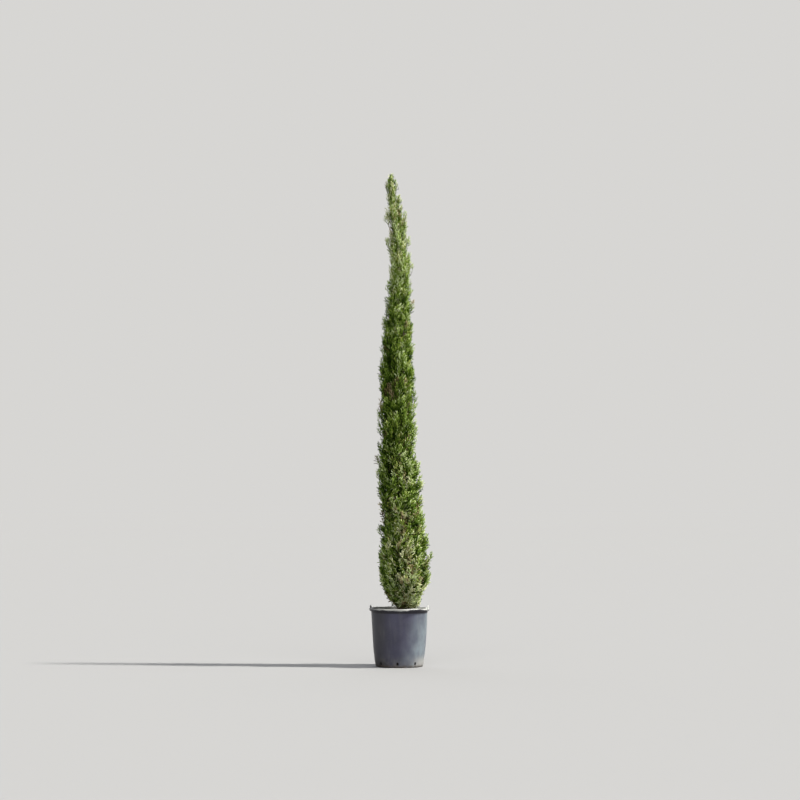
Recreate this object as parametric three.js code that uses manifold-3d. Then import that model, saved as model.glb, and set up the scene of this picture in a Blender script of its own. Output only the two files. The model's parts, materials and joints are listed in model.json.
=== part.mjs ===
// Italian cypress in a nursery container: pot, root ball, trunk, foot stems and the upright
// plumes of foliage that make up its narrow crown. Millimetres, +Z up, origin at the centre of
// the pot's flat underside, front of the plant towards -Y.
import * as THREE from "three";
import { mergeVertices } from "three/addons/utils/BufferGeometryUtils.js";
import Module from "manifold-3d";

const wasm = await Module();
wasm.setup();

// ---------------------------------------------------------------- driving dimensions
const PLANT_TOP = 3000; // tip of the leader above the floor
const POT_HEIGHT = 356;
const RIM_RADIUS = 182; // over the rolled lip
const WALL = 3;
const FLOOR_THICKNESS = 4;
const BODY_TOP = 312; // where the pot's wall runs into the neck below the lip
const POT_SIDES = 38;
const LIP_DROP = 15.5; // height of the rolled lip's skirt
const DRAIN_HOLES = 8;
const DRAIN_WIDTH = 13;
const DRAIN_HEIGHT = 18;
const DRAIN_Z = 24.5; // centre of the drain holes
const DRAIN_PHASE = -4.4; // degrees from the front
const LUG_TURN = 80; // lifting lugs, degrees from the front; the other is opposite
const LUG_WIDTH = 42;
const LUG_HEIGHT = 16; // above the lip
const LIP_WARP = 2.4; // the lip has gone a little out of true
const SOIL_LEVEL = 322;
const SOIL_GAP = 0.6; // between root ball and pot
const TRUNK_BASE_RADIUS = 20;
const FLARE_RADIUS = 31; // root flare at the soil
const TRUNK_TIP = 2965;
const TRUNK_TIP_RADIUS = 2.2;
const TOUCH = 0.45; // gap kept between pieces that touch
const MASS_GAP = 2.2; // half the gap between neighbouring plumes
const LEVEL = 57.6; // spacing of the plume cross-sections
const CROWN_FOOT = 351; // lowest cross-section of the crown
const PLUME_SIDES = 8;

// Outer body of the pot: height, radius. It tapers faster near the foot.
const POT_BODY = [
  [0, 136],
  [3, 141],
  [20, 146],
  [45, 150],
  [92, 156],
  [180, 162.8],
  [BODY_TOP, 169.4],
];

// The crown: height, half width, and the sideways place of its middle, which gives its lean.
const CROWN = [
  [341, 90, 42],
  [367, 98, 41],
  [404, 113, 32],
  [441, 131, 27],
  [477, 146, 31],
  [514, 164, 34],
  [550, 170, 29],
  [623, 163, 26],
  [696, 167, 26],
  [769, 161, 25],
  [842, 148, 23],
  [916, 144, 24],
  [988, 141, 10],
  [1061, 140, -1],
  [1207, 137, 1],
  [1280, 124, -12],
  [1353, 121, -16],
  [1462, 128, -8],
  [1572, 120, -16],
  [1682, 124, -15],
  [1791, 120, -14],
  [1864, 110, -9],
  [1973, 107, -11],
  [2082, 101, -11],
  [2229, 89, -5],
  [2302, 85, -2],
  [2375, 80, 4],
  [2521, 77, 1],
  [2594, 71, -11],
  [2667, 68, -14],
  [2740, 68, -22],
  [2814, 60, -28],
  [2850, 51, -37],
  [2886, 43, -50],
  [2959, 37, -51],
  [3000, 16, -48],
];

// Trunk: height and sideways place of its middle.
const TRUNK_LINE = [
  [SOIL_LEVEL, 14],
  [520, 17],
  [760, 18],
  [1000, 8],
  [1300, -8],
  [1650, -12],
  [2000, -9],
  [2300, -3],
  [2520, -3],
  [2700, -17],
  [2850, -36],
  [TRUNK_TIP, -47],
];

// Tiers of plumes: foot, tip, how many stand round the trunk, and the turn of the first in degrees.
const TIERS = [
  { foot: 0, rise: 9, count: 5, turn: 20, raised: [1, 0, 1, 0, 0] },
  { foot: 4, rise: 10, count: 5, turn: 55 },
  { foot: 9, rise: 11, count: 4, turn: 8 },
  { foot: 15, rise: 11, count: 4, turn: 50 },
  { foot: 20, rise: 11, count: 4, turn: 5 },
  { foot: 26, rise: 10, count: 4, turn: 48 },
  { foot: 31, rise: 10, count: 3, turn: 15 },
];
const LEADER_FOOT = 36; // level at which the topmost plume closes round the trunk
// A second, lower tip that stands beside the leader.
const SIDE_TIP = { foot: 38, tip: 44, top: 2872, turn: 82 };

// ---------------------------------------------------------------- helpers
const rad = (d) => (d * Math.PI) / 180;

// Smooth reading of a table of [z, a, b, ...] rows (Catmull-Rom through the rows).
function table(rows, z, column) {
  const n = rows.length;
  if (z <= rows[0][0]) return rows[0][column];
  if (z >= rows[n - 1][0]) return rows[n - 1][column];
  let k = 0;
  while (rows[k + 1][0] < z) k++;
  const h = rows[k + 1][0] - rows[k][0],
    t = (z - rows[k][0]) / h;
  const slope = (i) => {
    const a = rows[Math.max(0, i - 1)],
      b = rows[Math.min(n - 1, i + 1)];
    return (b[column] - a[column]) / (b[0] - a[0]);
  };
  const [p, q] = [rows[k][column], rows[k + 1][column]],
    [mp, mq] = [slope(k) * h, slope(k + 1) * h];
  return (
    (2 * t ** 3 - 3 * t ** 2 + 1) * p +
    (t ** 3 - 2 * t ** 2 + t) * mp +
    (-2 * t ** 3 + 3 * t ** 2) * q +
    (t ** 3 - t ** 2) * mq
  );
}

// Repeatable number from 0 to 1 for a pair of labels.
function dice(a, b = 0) {
  const s = Math.sin(a * 127.1 + b * 311.7 + 17.3) * 43758.5453;
  return s - Math.floor(s);
}

const crownHalf = (z) => table(CROWN, z, 1);
const crownX = (z) => table(CROWN, z, 2);
const crownY = (z) => 7 * Math.sin(z / 520 + 0.6);
const trunkX = (z) => table(TRUNK_LINE, z, 1);
const trunkY = (z) => 5 * Math.sin(z / 600 + 0.3);
function trunkRadius(z) {
  const t = (z - SOIL_LEVEL) / (TRUNK_TIP - SOIL_LEVEL);
  const taper =
    TRUNK_TIP_RADIUS + (TRUNK_BASE_RADIUS - TRUNK_TIP_RADIUS) * (1 - t) ** 0.95;
  const flare =
    (FLARE_RADIUS - TRUNK_BASE_RADIUS) * Math.exp(-(z - SOIL_LEVEL) / 16);
  return taper + flare;
}

function asSolid(geometry) {
  const g = geometry.index ? geometry.toNonIndexed() : geometry.clone();
  g.deleteAttribute("normal");
  g.deleteAttribute("uv");
  const m = mergeVertices(g, 1e-3);
  return new wasm.Manifold(
    new wasm.Mesh({
      numProp: 3,
      vertProperties: new Float32Array(m.attributes.position.array),
      triVerts: new Uint32Array(m.index.array),
    }),
  );
}

function asGeometry(solid) {
  const m = solid.getMesh(),
    n = m.numProp,
    v = new Float32Array((m.vertProperties.length / n) * 3);
  for (let i = 0; i < v.length / 3; i++)
    v.set(m.vertProperties.subarray(i * n, i * n + 3), i * 3);
  const g = new THREE.BufferGeometry();
  g.setAttribute("position", new THREE.BufferAttribute(v, 3));
  g.setIndex(new THREE.BufferAttribute(new Uint32Array(m.triVerts), 1));
  return g.toNonIndexed();
}

// The largest separate body of a solid.
function largest(solid) {
  const bodies = solid.decompose();
  return bodies.reduce((a, b) => (b.volume() > a.volume() ? b : a));
}

// Closed skin over rings of points, each ring turning the same way, with a point or a flat
// fan at either end.
function skin(rings, foot, tip) {
  const pos = [],
    idx = [],
    n = rings[0].length;
  for (const r of rings) for (const p of r) pos.push(...p);
  pos.push(...foot, ...tip);
  const a = rings.length * n,
    b = a + 1;
  for (let k = 0; k + 1 < rings.length; k++)
    for (let i = 0; i < n; i++) {
      const j = (i + 1) % n,
        p = k * n + i,
        q = k * n + j,
        r = (k + 1) * n + j,
        s = (k + 1) * n + i;
      idx.push(p, q, r, p, r, s);
    }
  for (let i = 0; i < n; i++) {
    const j = (i + 1) % n;
    idx.push(a, j, i);
    idx.push(b, (rings.length - 1) * n + i, (rings.length - 1) * n + j);
  }
  const g = new THREE.BufferGeometry();
  g.setAttribute("position", new THREE.Float32BufferAttribute(pos, 3));
  g.setIndex(idx);
  return asSolid(g);
}

// ---------------------------------------------------------------- trunk
function trunkSolid(pad) {
  const rings = [],
    heights = [];
  for (let z = SOIL_LEVEL + TOUCH; z < SOIL_LEVEL + 60; z += 18) heights.push(z);
  for (let z = SOIL_LEVEL + 80; z < TRUNK_TIP - 60; z += 100) heights.push(z);
  heights.push(TRUNK_TIP - 30);
  for (const z of heights) {
    const near = Math.exp(-(z - SOIL_LEVEL) / 22),
      ring = [];
    for (let i = 0; i < 9; i++) {
      const a = (i / 9) * 2 * Math.PI;
      // root flare: five low buttresses that die away up the stem
      const lobe = 1 + 0.16 * near * Math.cos(5 * a + 0.7) + 0.03 * Math.sin(3 * a + z / 140);
      const r = trunkRadius(z) * lobe + pad;
      ring.push([trunkX(z) + r * Math.cos(a), trunkY(z) + r * Math.sin(a), z]);
    }
    rings.push(ring);
  }
  const z0 = heights[0] - pad,
    z1 = TRUNK_TIP + 2 * pad;
  if (pad) rings[0].forEach((p) => (p[2] = z0));
  return skin(rings, [trunkX(z0), trunkY(z0), z0], [trunkX(TRUNK_TIP), trunkY(TRUNK_TIP), z1]);
}

// ---------------------------------------------------------------- plumes of foliage
const levels = [];
for (let z = CROWN_FOOT; z < PLANT_TOP; z += LEVEL) levels.push(z);
levels.push(PLANT_TOP);

const plumes = [];
TIERS.forEach((tier, t) => {
  for (let i = 0; i < tier.count; i++) {
    const id = plumes.length,
      wander = (dice(id, 1) - 0.5) * 16,
      shift = Math.round(dice(id, 2) * 2) - (t === 0 ? 0 : 1);
    plumes.push({
      id,
      name: "plume_" + String(id + 1).padStart(2, "0"),
      foot: tier.raised ? tier.raised[i] : tier.foot + shift,
      hang: tier.raised ? [4, 24][tier.raised[i]] : 8, // how far its foot hangs below the first level
      swing: tier.raised ? 0.34 : 0.12, // how far out it already stands at its foot
      tip: Math.min(levels.length - 4, tier.foot + tier.rise + shift),
      turn: rad(tier.turn + (i * 360) / tier.count + wander),
      reach: 0.97 + 0.07 * dice(id, 3),
    });
  }
});
plumes.push({
  id: plumes.length,
  name: "side_tip",
  foot: SIDE_TIP.foot,
  tip: SIDE_TIP.tip,
  top: SIDE_TIP.top,
  hang: 8,
  swing: 0.12,
  turn: rad(SIDE_TIP.turn),
  reach: 1.02,
});
plumes.push({
  id: plumes.length,
  name: "leader_plume",
  foot: LEADER_FOOT,
  tip: levels.length - 1,
  leader: true,
  hang: 8,
  reach: 1,
});

// The middle of a plume at level k: it leaves the trunk at its foot and swings out and up. turn
// is counted from the front (-Y) towards +X.
function plumeAxis(p, k) {
  const z = levels[k],
    tx = trunkX(z),
    ty = trunkY(z);
  if (p.leader) {
    const t = Math.min(1, (k - p.foot) / (p.tip - p.foot));
    return [tx + (crownX(z) - tx) * t, ty, z];
  }
  const u = (k - p.foot) / (p.tip - p.foot),
    r = trunkRadius(z) + 9,
    out = r + (0.66 * crownHalf(z) - r) * Math.min(1, p.swing + 1.15 * u ** 0.75),
    cx = tx + (crownX(z) - tx) * Math.min(1, 0.3 + u),
    cy = ty + (crownY(z) - ty) * u;
  return [cx + out * Math.sin(p.turn), cy - out * Math.cos(p.turn), z];
}

// Its free radius at level k, before its neighbours and the crown's outline limit it: round all
// the way, then uneven with the angle a.
function swell(p, k) {
  const u = (k - p.foot) / (p.tip - p.foot),
    w = crownHalf(levels[k]);
  if (p.leader) return 1.04 * w * Math.min(1, 0.25 + 2.4 * u);
  return 0.92 * w * Math.min(1, 2.5 * (u + 0.03) ** 0.6) * Math.min(1, 2.5 * (1 - u) ** 0.8);
}
function plumeRadius(p, k, a) {
  const u = (k - p.foot) / (p.tip - p.foot);
  return (
    swell(p, k) *
    (1 +
      0.07 * Math.sin(2 * a + 6 * dice(p.id, 4) + 5 * u) +
      0.06 * Math.sin(3 * a + 6 * dice(p.id, 5) - 9 * u) +
      0.05 * Math.sin(5 * a + 6 * dice(p.id, 6) + 13 * u))
  );
}

// Uneven outline of the crown, as a factor on its half width.
function outline(p, z, a) {
  return (
    p.reach *
    (1.0 + 0.03 * Math.sin(3 * a + z / 83) + 0.025 * Math.sin(5 * a - z / 57) + 0.03 * (dice(p.id + z, 7) - 0.5))
  );
}

function plumeRing(p, k, pad) {
  const z = levels[k],
    [ax, ay] = plumeAxis(p, k),
    ring = [];
  const others = plumes.filter((q) => q !== p && k >= q.foot && k < q.tip);
  for (let i = 0; i < PLUME_SIDES; i++) {
    const a = (i / PLUME_SIDES) * 2 * Math.PI + p.id,
      dx = Math.cos(a),
      dy = Math.sin(a);
    let r = plumeRadius(p, k, a);
    // neighbours: the stouter of two plumes has the larger share of the room between them
    for (const q of others) {
      const [bx, by] = plumeAxis(q, k),
        gap = Math.hypot(bx - ax, by - ay),
        share = Math.max(swell(p, k), 4) / (Math.max(swell(p, k), 4) + swell(q, k) + 1),
        along = ((bx - ax) * dx + (by - ay) * dy) / gap;
      if (along > 1e-3) r = Math.min(r, (gap * share - MASS_GAP) / along);
    }
    // the trunk
    if (!p.leader) {
      const tx = trunkX(z),
        ty = trunkY(z),
        d = Math.hypot(ax - tx, ay - ty),
        towards = ((tx - ax) * dx + (ty - ay) * dy) / d;
      if (towards > 1e-3) r = Math.min(r, (d - trunkRadius(z) * 1.04 - 1.2) / towards);
    }
    // the crown's outline
    const ox = ax - crownX(z),
      oy = ay - crownY(z),
      w = crownHalf(z) * outline(p, z, Math.atan2(oy + r * dy, ox + r * dx)),
      b = ox * dx + oy * dy,
      s = b * b - (ox * ox + oy * oy) + w * w;
    if (s > 0) r = Math.min(r, -b + Math.sqrt(s));
    r = Math.max(r, 1.5) + pad;
    ring.push([ax + r * dx, ay + r * dy, z]);
  }
  return ring;
}

const TIP_LEAN = 0.35; // how much of its axis's last step a tip follows
function plumeSolid(p, pad = 0) {
  const rings = [];
  for (let k = p.foot; k < p.tip; k++) rings.push(plumeRing(p, k, pad));
  const foot = plumeAxis(p, p.foot),
    last = plumeAxis(p, p.tip - 1),
    tip = plumeAxis(p, p.tip).map((v, i) => (i < 2 ? last[i] + TIP_LEAN * (v - last[i]) : v));
  foot[2] -= p.hang + pad;
  if (p.top) tip[2] = p.top;
  tip[2] += pad;
  return skin(rings, foot, tip);
}

// ---------------------------------------------------------------- foot stems
// Upright boughs that leave the foot of the trunk and end where they enter the lowest plumes.
function stemSolid(p, pad) {
  const target = plumeAxis(p, p.foot),
    start = [trunkX(SOIL_LEVEL), trunkY(SOIL_LEVEL), SOIL_LEVEL + 5 + 6 * dice(p.id, 8)];
  const end = [target[0], target[1], target[2] - p.hang + 6];
  const rings = [],
    steps = 4;
  for (let k = 0; k <= steps; k++) {
    const t = k / steps,
      bow = Math.sin(t * Math.PI) * 3,
      c = [
        start[0] + (end[0] - start[0]) * t ** 0.5 + bow * Math.sin(p.turn),
        start[1] + (end[1] - start[1]) * t ** 0.5 - bow * Math.cos(p.turn),
        start[2] + (end[2] - start[2]) * t,
      ],
      r = 6.6 - 1.6 * t + pad;
    const ring = [];
    for (let i = 0; i < 7; i++) {
      const a = (i / 7) * 2 * Math.PI;
      ring.push([c[0] + r * Math.cos(a), c[1] + r * Math.sin(a), c[2]]);
    }
    rings.push(ring);
  }
  return skin(
    rings,
    [start[0], start[1], start[2]],
    [end[0], end[1], end[2]],
  );
}

// ---------------------------------------------------------------- pot and root ball
function potOuter(z) {
  return table(POT_BODY, z, 1);
}
// The lip's rise and fall, turn counted from the front towards +X. It never passes POT_HEIGHT
// by more than the warp.
function lipWarp(turn) {
  return (
    LIP_WARP *
    (0.5 * Math.sin(2 * turn + 0.4) + 0.3 * Math.sin(5 * turn - 0.9) + 0.2 * Math.sin(9 * turn + 2.1) - 0.3)
  );
}
function lugSolid(turn) {
  const w = LUG_WIDTH / 2,
    z0 = POT_HEIGHT - 9,
    z1 = POT_HEIGHT + LUG_HEIGHT,
    shape = new THREE.Shape();
  shape.moveTo(-w, z0);
  shape.lineTo(w, z0);
  for (const [x, z] of [
    [0.86, 0.45],
    [0.62, 0.86],
    [0.38, 1],
    [-0.38, 1],
    [-0.62, 0.86],
    [-0.86, 0.45],
  ])
    shape.lineTo(w * x, POT_HEIGHT + (z1 - POT_HEIGHT) * z);
  shape.lineTo(-w, z0);
  const bar = new THREE.ExtrudeGeometry(shape, { depth: 4, bevelEnabled: false });
  const out = new THREE.Vector3(Math.sin(turn), -Math.cos(turn), 0),
    tangent = new THREE.Vector3(Math.cos(turn), Math.sin(turn), 0);
  const m = new THREE.Matrix4().makeBasis(tangent, new THREE.Vector3(0, 0, 1), out);
  m.setPosition(out.x * (RIM_RADIUS - 6.4), out.y * (RIM_RADIUS - 6.4), 0);
  bar.applyMatrix4(m);
  return asSolid(bar);
}
function potSolid() {
  const outer = POT_BODY.map(([z, r]) => [r, z]);
  const under = POT_HEIGHT - LIP_DROP;
  const profile = [
    [0, 0],
    [100, 0],
    ...outer,
    [potOuter(BODY_TOP) + 2.2, under - 2], // stacking shoulder
    [potOuter(BODY_TOP) + 2.6, under + 3],
    [RIM_RADIUS - 2.6, under + 3], // underside of the lip
    [RIM_RADIUS - 2.4, under - 0.01],
    [RIM_RADIUS, under],
    [RIM_RADIUS, POT_HEIGHT - 3.5],
    [RIM_RADIUS - 3, POT_HEIGHT],
    [potOuter(BODY_TOP) - 0.5, POT_HEIGHT],
    [potOuter(BODY_TOP) - 2, POT_HEIGHT - 1.5],
    [potOuter(BODY_TOP) - WALL, BODY_TOP],
    [potOuter(180) - WALL, 180],
    [potOuter(92) - WALL, 92],
    [potOuter(45) - WALL, 45],
    [potOuter(20) - WALL, 20],
    [potOuter(20) - WALL - 8, FLOOR_THICKNESS],
    [0, FLOOR_THICKNESS],
  ];
  const lathe = new THREE.LatheGeometry(
    profile.map(([r, z]) => new THREE.Vector2(r, z)),
    POT_SIDES,
  );
  lathe.rotateX(Math.PI / 2); // the lathe's axis is +Y
  const at = lathe.attributes.position;
  for (let i = 0; i < at.count; i++) {
    const r = Math.hypot(at.getX(i), at.getY(i)),
      z = at.getZ(i);
    if (r > 160 && z > BODY_TOP + 5)
      at.setZ(i, z + lipWarp(Math.atan2(at.getX(i), -at.getY(i))) * Math.min(1, (z - BODY_TOP - 5) / 20));
  }
  let solid = asSolid(lathe);
  if (solid.volume() < 0) throw new Error("pot profile runs the wrong way");
  for (let i = 0; i < DRAIN_HOLES; i++) {
    const a = rad(DRAIN_PHASE + (i * 360) / DRAIN_HOLES),
      shape = new THREE.Shape();
    const w = DRAIN_WIDTH / 2,
      h = DRAIN_HEIGHT / 2;
    shape.moveTo(-w, -h);
    shape.lineTo(w, -h);
    shape.lineTo(w, h - w);
    for (let s = 1; s <= 3; s++)
      shape.lineTo(w * Math.cos((s * Math.PI) / 4), h - w + w * Math.sin((s * Math.PI) / 4));
    shape.lineTo(-w, h - w);
    const bar = new THREE.ExtrudeGeometry(shape, { depth: 40, bevelEnabled: false });
    // shape x -> tangent, shape y -> +Z, depth -> outwards
    const out = new THREE.Vector3(Math.sin(a), -Math.cos(a), 0),
      tangent = new THREE.Vector3(Math.cos(a), Math.sin(a), 0);
    const m = new THREE.Matrix4().makeBasis(tangent, new THREE.Vector3(0, 0, 1), out);
    m.setPosition(out.x * 125, out.y * 125, DRAIN_Z);
    bar.applyMatrix4(m);
    let cutter = asSolid(bar);
    solid = solid.subtract(cutter);
  }
  for (const t of [LUG_TURN, LUG_TURN + 180]) solid = solid.add(lugSolid(rad(t)));
  return solid;
}

function soilTop(x, y) {
  const d = Math.hypot(x - trunkX(SOIL_LEVEL), y - trunkY(SOIL_LEVEL));
  const free = Math.min(1, Math.max(0, (d - FLARE_RADIUS * 1.25) / 20));
  return (
    SOIL_LEVEL -
    free *
      (3 + 2.4 * Math.sin(x / 21 + 1) * Math.cos(y / 17) + 1.6 * Math.sin(x / 9 - y / 12) + 4 * (d / 170) ** 2)
  );
}
function soilSolid() {
  const pos = [],
    idx = [],
    sides = 28,
    rings = [0, 45, 75, 105, 135, 1]; // the last is the wall
  const wallAt = (z) => potOuter(z) - WALL - SOIL_GAP;
  const cx = trunkX(SOIL_LEVEL),
    cy = trunkY(SOIL_LEVEL);
  const add = (x, y, z) => pos.push(x, y, z) / 3 - 1;
  const top = [[add(cx, cy, SOIL_LEVEL)]];
  for (const r of rings.slice(1)) {
    const ring = [];
    for (let i = 0; i < sides; i++) {
      const a = (i / sides) * 2 * Math.PI;
      const R = wallAt(300) * Math.cos(Math.PI / POT_SIDES);
      // rings grow from the trunk's foot out to the wall
      const t = r === 1 ? 1 : r / 165,
        x = cx * (1 - t) + R * t * Math.cos(a),
        y = cy * (1 - t) + R * t * Math.sin(a);
      ring.push(add(x, y, soilTop(x, y)));
    }
    top.push(ring);
  }
  const side = [];
  for (const z of [300, 180, 92, 45, 20, FLOOR_THICKNESS + SOIL_GAP]) {
    const ring = [];
    const R =
      (z > 5 ? wallAt(z) : potOuter(20) - WALL - 8 - SOIL_GAP) * Math.cos(Math.PI / POT_SIDES) - 0.2;
    for (let i = 0; i < sides; i++) {
      const a = (i / sides) * 2 * Math.PI;
      ring.push(add(R * Math.cos(a), R * Math.sin(a), z));
    }
    side.push(ring);
  }
  const bottom = add(0, 0, FLOOR_THICKNESS + SOIL_GAP);
  for (let i = 0; i < sides; i++) {
    const j = (i + 1) % sides;
    idx.push(top[0][0], top[1][i], top[1][j]);
    for (let k = 1; k + 1 < top.length; k++)
      idx.push(top[k][i], top[k + 1][i], top[k + 1][j], top[k][i], top[k + 1][j], top[k][j]);
    const all = [top[top.length - 1], ...side];
    for (let k = 0; k + 1 < all.length; k++)
      idx.push(all[k][i], all[k + 1][i], all[k + 1][j], all[k][i], all[k + 1][j], all[k][j]);
    idx.push(bottom, side[side.length - 1][j], side[side.length - 1][i]);
  }
  const g = new THREE.BufferGeometry();
  g.setAttribute("position", new THREE.Float32BufferAttribute(pos, 3));
  g.setIndex(idx);
  return asSolid(g);
}

// ---------------------------------------------------------------- assembly
const finish = {
  pot: new THREE.MeshStandardMaterial({ color: 0x4a4b4f, roughness: 0.62, metalness: 0 }),
  soil: new THREE.MeshStandardMaterial({ color: 0x5d5144, roughness: 0.95, metalness: 0 }),
  bark: new THREE.MeshStandardMaterial({ color: 0x6d5a48, roughness: 0.9, metalness: 0 }),
  leaf: new THREE.MeshStandardMaterial({ color: 0x66783a, roughness: 0.7, metalness: 0 }),
};

const plant = new THREE.Group();
plant.name = "italian_cypress";
function place(name, solid, material) {
  const mesh = new THREE.Mesh(asGeometry(solid), material);
  mesh.name = name;
  plant.add(mesh);
}

const trunk = trunkSolid(0);
const trunkRoom = trunkSolid(TOUCH + 0.3);

// Each plume is cut clear of the trunk and of those already made, with a wider cut where the
// first leaves them touching.
const made = [];
for (const p of plumes) {
  let s = plumeSolid(p).subtract(trunkRoom);
  for (const m of made)
    for (const pad of [TOUCH + 0.6, 3, 6]) {
      if (s.intersect(m.solid).volume() <= 0) break;
      s = s.subtract(plumeSolid(m.p, pad));
    }
  made.push({ p, solid: largest(s) });
}

place("pot", potSolid(), finish.pot);
place("root_ball", soilSolid(), finish.soil);
place("trunk", trunk, finish.bark);
plumes
  .filter((p) => !p.leader && p.id < TIERS[0].count)
  .forEach((p, i) => {
    let s = stemSolid(p, 0).subtract(trunkRoom);
    for (const m of made.slice(0, TIERS[0].count)) s = s.subtract(plumeSolid(m.p, TOUCH));
    place("foot_stem_" + (i + 1), largest(s), finish.bark);
  });
for (const m of made) place(m.p.name, m.solid, finish.leaf);

export default plant;
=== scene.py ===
"""Looks of a potted Italian cypress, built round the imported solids."""
import json
import math

import bmesh
import bpy
import numpy as np
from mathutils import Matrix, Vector
from mathutils.bvhtree import BVHTree

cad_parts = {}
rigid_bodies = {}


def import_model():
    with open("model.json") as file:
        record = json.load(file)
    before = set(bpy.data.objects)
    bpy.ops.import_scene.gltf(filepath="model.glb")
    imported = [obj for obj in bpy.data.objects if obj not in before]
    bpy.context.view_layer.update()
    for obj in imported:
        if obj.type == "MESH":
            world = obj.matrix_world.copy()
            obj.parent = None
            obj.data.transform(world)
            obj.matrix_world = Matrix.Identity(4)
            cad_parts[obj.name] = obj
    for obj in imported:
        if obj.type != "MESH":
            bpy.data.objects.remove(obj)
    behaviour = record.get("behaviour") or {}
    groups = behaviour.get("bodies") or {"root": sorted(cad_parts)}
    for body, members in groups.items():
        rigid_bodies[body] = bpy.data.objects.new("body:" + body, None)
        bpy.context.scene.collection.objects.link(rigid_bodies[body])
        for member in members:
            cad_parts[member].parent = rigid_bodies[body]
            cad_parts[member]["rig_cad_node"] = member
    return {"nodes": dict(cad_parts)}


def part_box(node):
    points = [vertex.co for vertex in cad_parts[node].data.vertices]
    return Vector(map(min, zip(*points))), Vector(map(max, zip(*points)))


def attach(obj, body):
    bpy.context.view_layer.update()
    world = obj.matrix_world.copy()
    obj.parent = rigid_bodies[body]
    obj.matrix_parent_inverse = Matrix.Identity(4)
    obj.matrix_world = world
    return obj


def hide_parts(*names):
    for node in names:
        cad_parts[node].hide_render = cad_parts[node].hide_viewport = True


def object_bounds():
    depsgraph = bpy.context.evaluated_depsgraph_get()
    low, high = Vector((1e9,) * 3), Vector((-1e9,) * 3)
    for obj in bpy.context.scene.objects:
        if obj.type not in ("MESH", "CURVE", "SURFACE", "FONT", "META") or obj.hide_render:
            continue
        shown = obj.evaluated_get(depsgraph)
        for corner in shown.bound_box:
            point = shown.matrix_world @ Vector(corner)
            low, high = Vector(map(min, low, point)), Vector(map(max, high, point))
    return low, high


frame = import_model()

CAD_BOX = [list(v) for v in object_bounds()]
rng = np.random.default_rng(20417)
NODES = frame["nodes"]
scene = bpy.context.scene
scene.view_settings.view_transform = "Standard"
scene.view_settings.look = "None"

# ------------------------------------------------------------------ camera, lights, floor
camera = bpy.data.objects.new("camera", bpy.data.cameras.new("camera"))
scene.collection.objects.link(camera)
camera.location = (0.004, -16.5, 1.2)
camera.rotation_euler = (math.radians(91.4489), 0, 0)
camera.data.sensor_width = 36
camera.data.lens = 122.0758
camera.data.clip_end = 500
scene.camera = camera

world = bpy.data.worlds.new("studio")
scene.world = world
world.use_nodes = True
SKY, SKY_COLOR = 0.33, (0.965, 0.985, 1.0)
world.node_tree.nodes["Background"].inputs["Color"].default_value = (*SKY_COLOR, 1)
world.node_tree.nodes["Background"].inputs["Strength"].default_value = SKY
# how bright a level white sheet is under all the lights
level_light = SKY * np.array(SKY_COLOR)


def sun(name, azimuth, elevation, strength, angle, color):
    """A soft key. Azimuth is counted from the front towards +X."""
    light = bpy.data.lights.new(name, "SUN")
    light.energy, light.angle, light.color = strength, math.radians(angle), color
    o = bpy.data.objects.new(name, light)
    scene.collection.objects.link(o)
    a, e = math.radians(azimuth), math.radians(elevation)
    away = Vector((math.sin(a) * math.cos(e), -math.cos(a) * math.cos(e), math.sin(e)))
    o.rotation_euler = away.to_track_quat("Z", "Y").to_euler()
    o.location = away * 8
    level_light[:] += strength * math.sin(e) / math.pi * np.array(color)


sun("key", 83, 54, 6.2, 4, (1.0, 0.965, 0.89))
sun("fill", 5, 42, 1.35, 55, (1.0, 0.98, 0.95))
sun("back", 186, 45, 1.2, 60, (0.95, 0.97, 1.0))


# ------------------------------------------------------------------ mesh helpers
def mesh_object(name, verts, tris, mats, index=None, smooth=True, quads=None):
    me = bpy.data.meshes.new(name)
    verts = np.asarray(verts, np.float32)
    tris = np.asarray(tris, np.int32).reshape(-1, 3)
    loops = tris.ravel()
    starts = np.arange(0, len(loops), 3, dtype=np.int32)
    if quads is not None and len(quads):
        q = np.asarray(quads, np.int32).reshape(-1, 4)
        starts = np.concatenate([starts, len(loops) + np.arange(0, 4 * len(q), 4, dtype=np.int32)])
        loops = np.concatenate([loops, q.ravel()])
    me.vertices.add(len(verts))
    me.vertices.foreach_set("co", verts.ravel())
    me.loops.add(len(loops))
    me.loops.foreach_set("vertex_index", loops)
    me.polygons.add(len(starts))
    me.polygons.foreach_set("loop_start", starts)
    for m in mats:
        me.materials.append(m)
    if index is not None:
        me.polygons.foreach_set("material_index", np.asarray(index, np.int32))
    me.polygons.foreach_set("use_smooth", np.full(len(starts), smooth))
    me.update(calc_edges=True)
    me.validate()
    o = bpy.data.objects.new(name, me)
    scene.collection.objects.link(o)
    return o


def unit(v):
    return v / np.maximum(np.linalg.norm(v, axis=-1, keepdims=True), 1e-9)


def waves(seed, scales, count=7):
    """A smooth field over points, from -1 to 1 or so: sines in seeded directions. scales is the size of its lumps along each axis."""
    g = np.random.default_rng(seed)
    k = unit(g.normal(size=(count, len(scales)))) * g.uniform(0.7, 1.6, (count, 1)) / np.asarray(scales) * 2.2
    ph = g.uniform(0, 2 * math.pi, count)

    def field(p):
        return np.sin(np.asarray(p) @ k.T + ph).sum(-1) / math.sqrt(count) * 0.75

    return field


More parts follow.
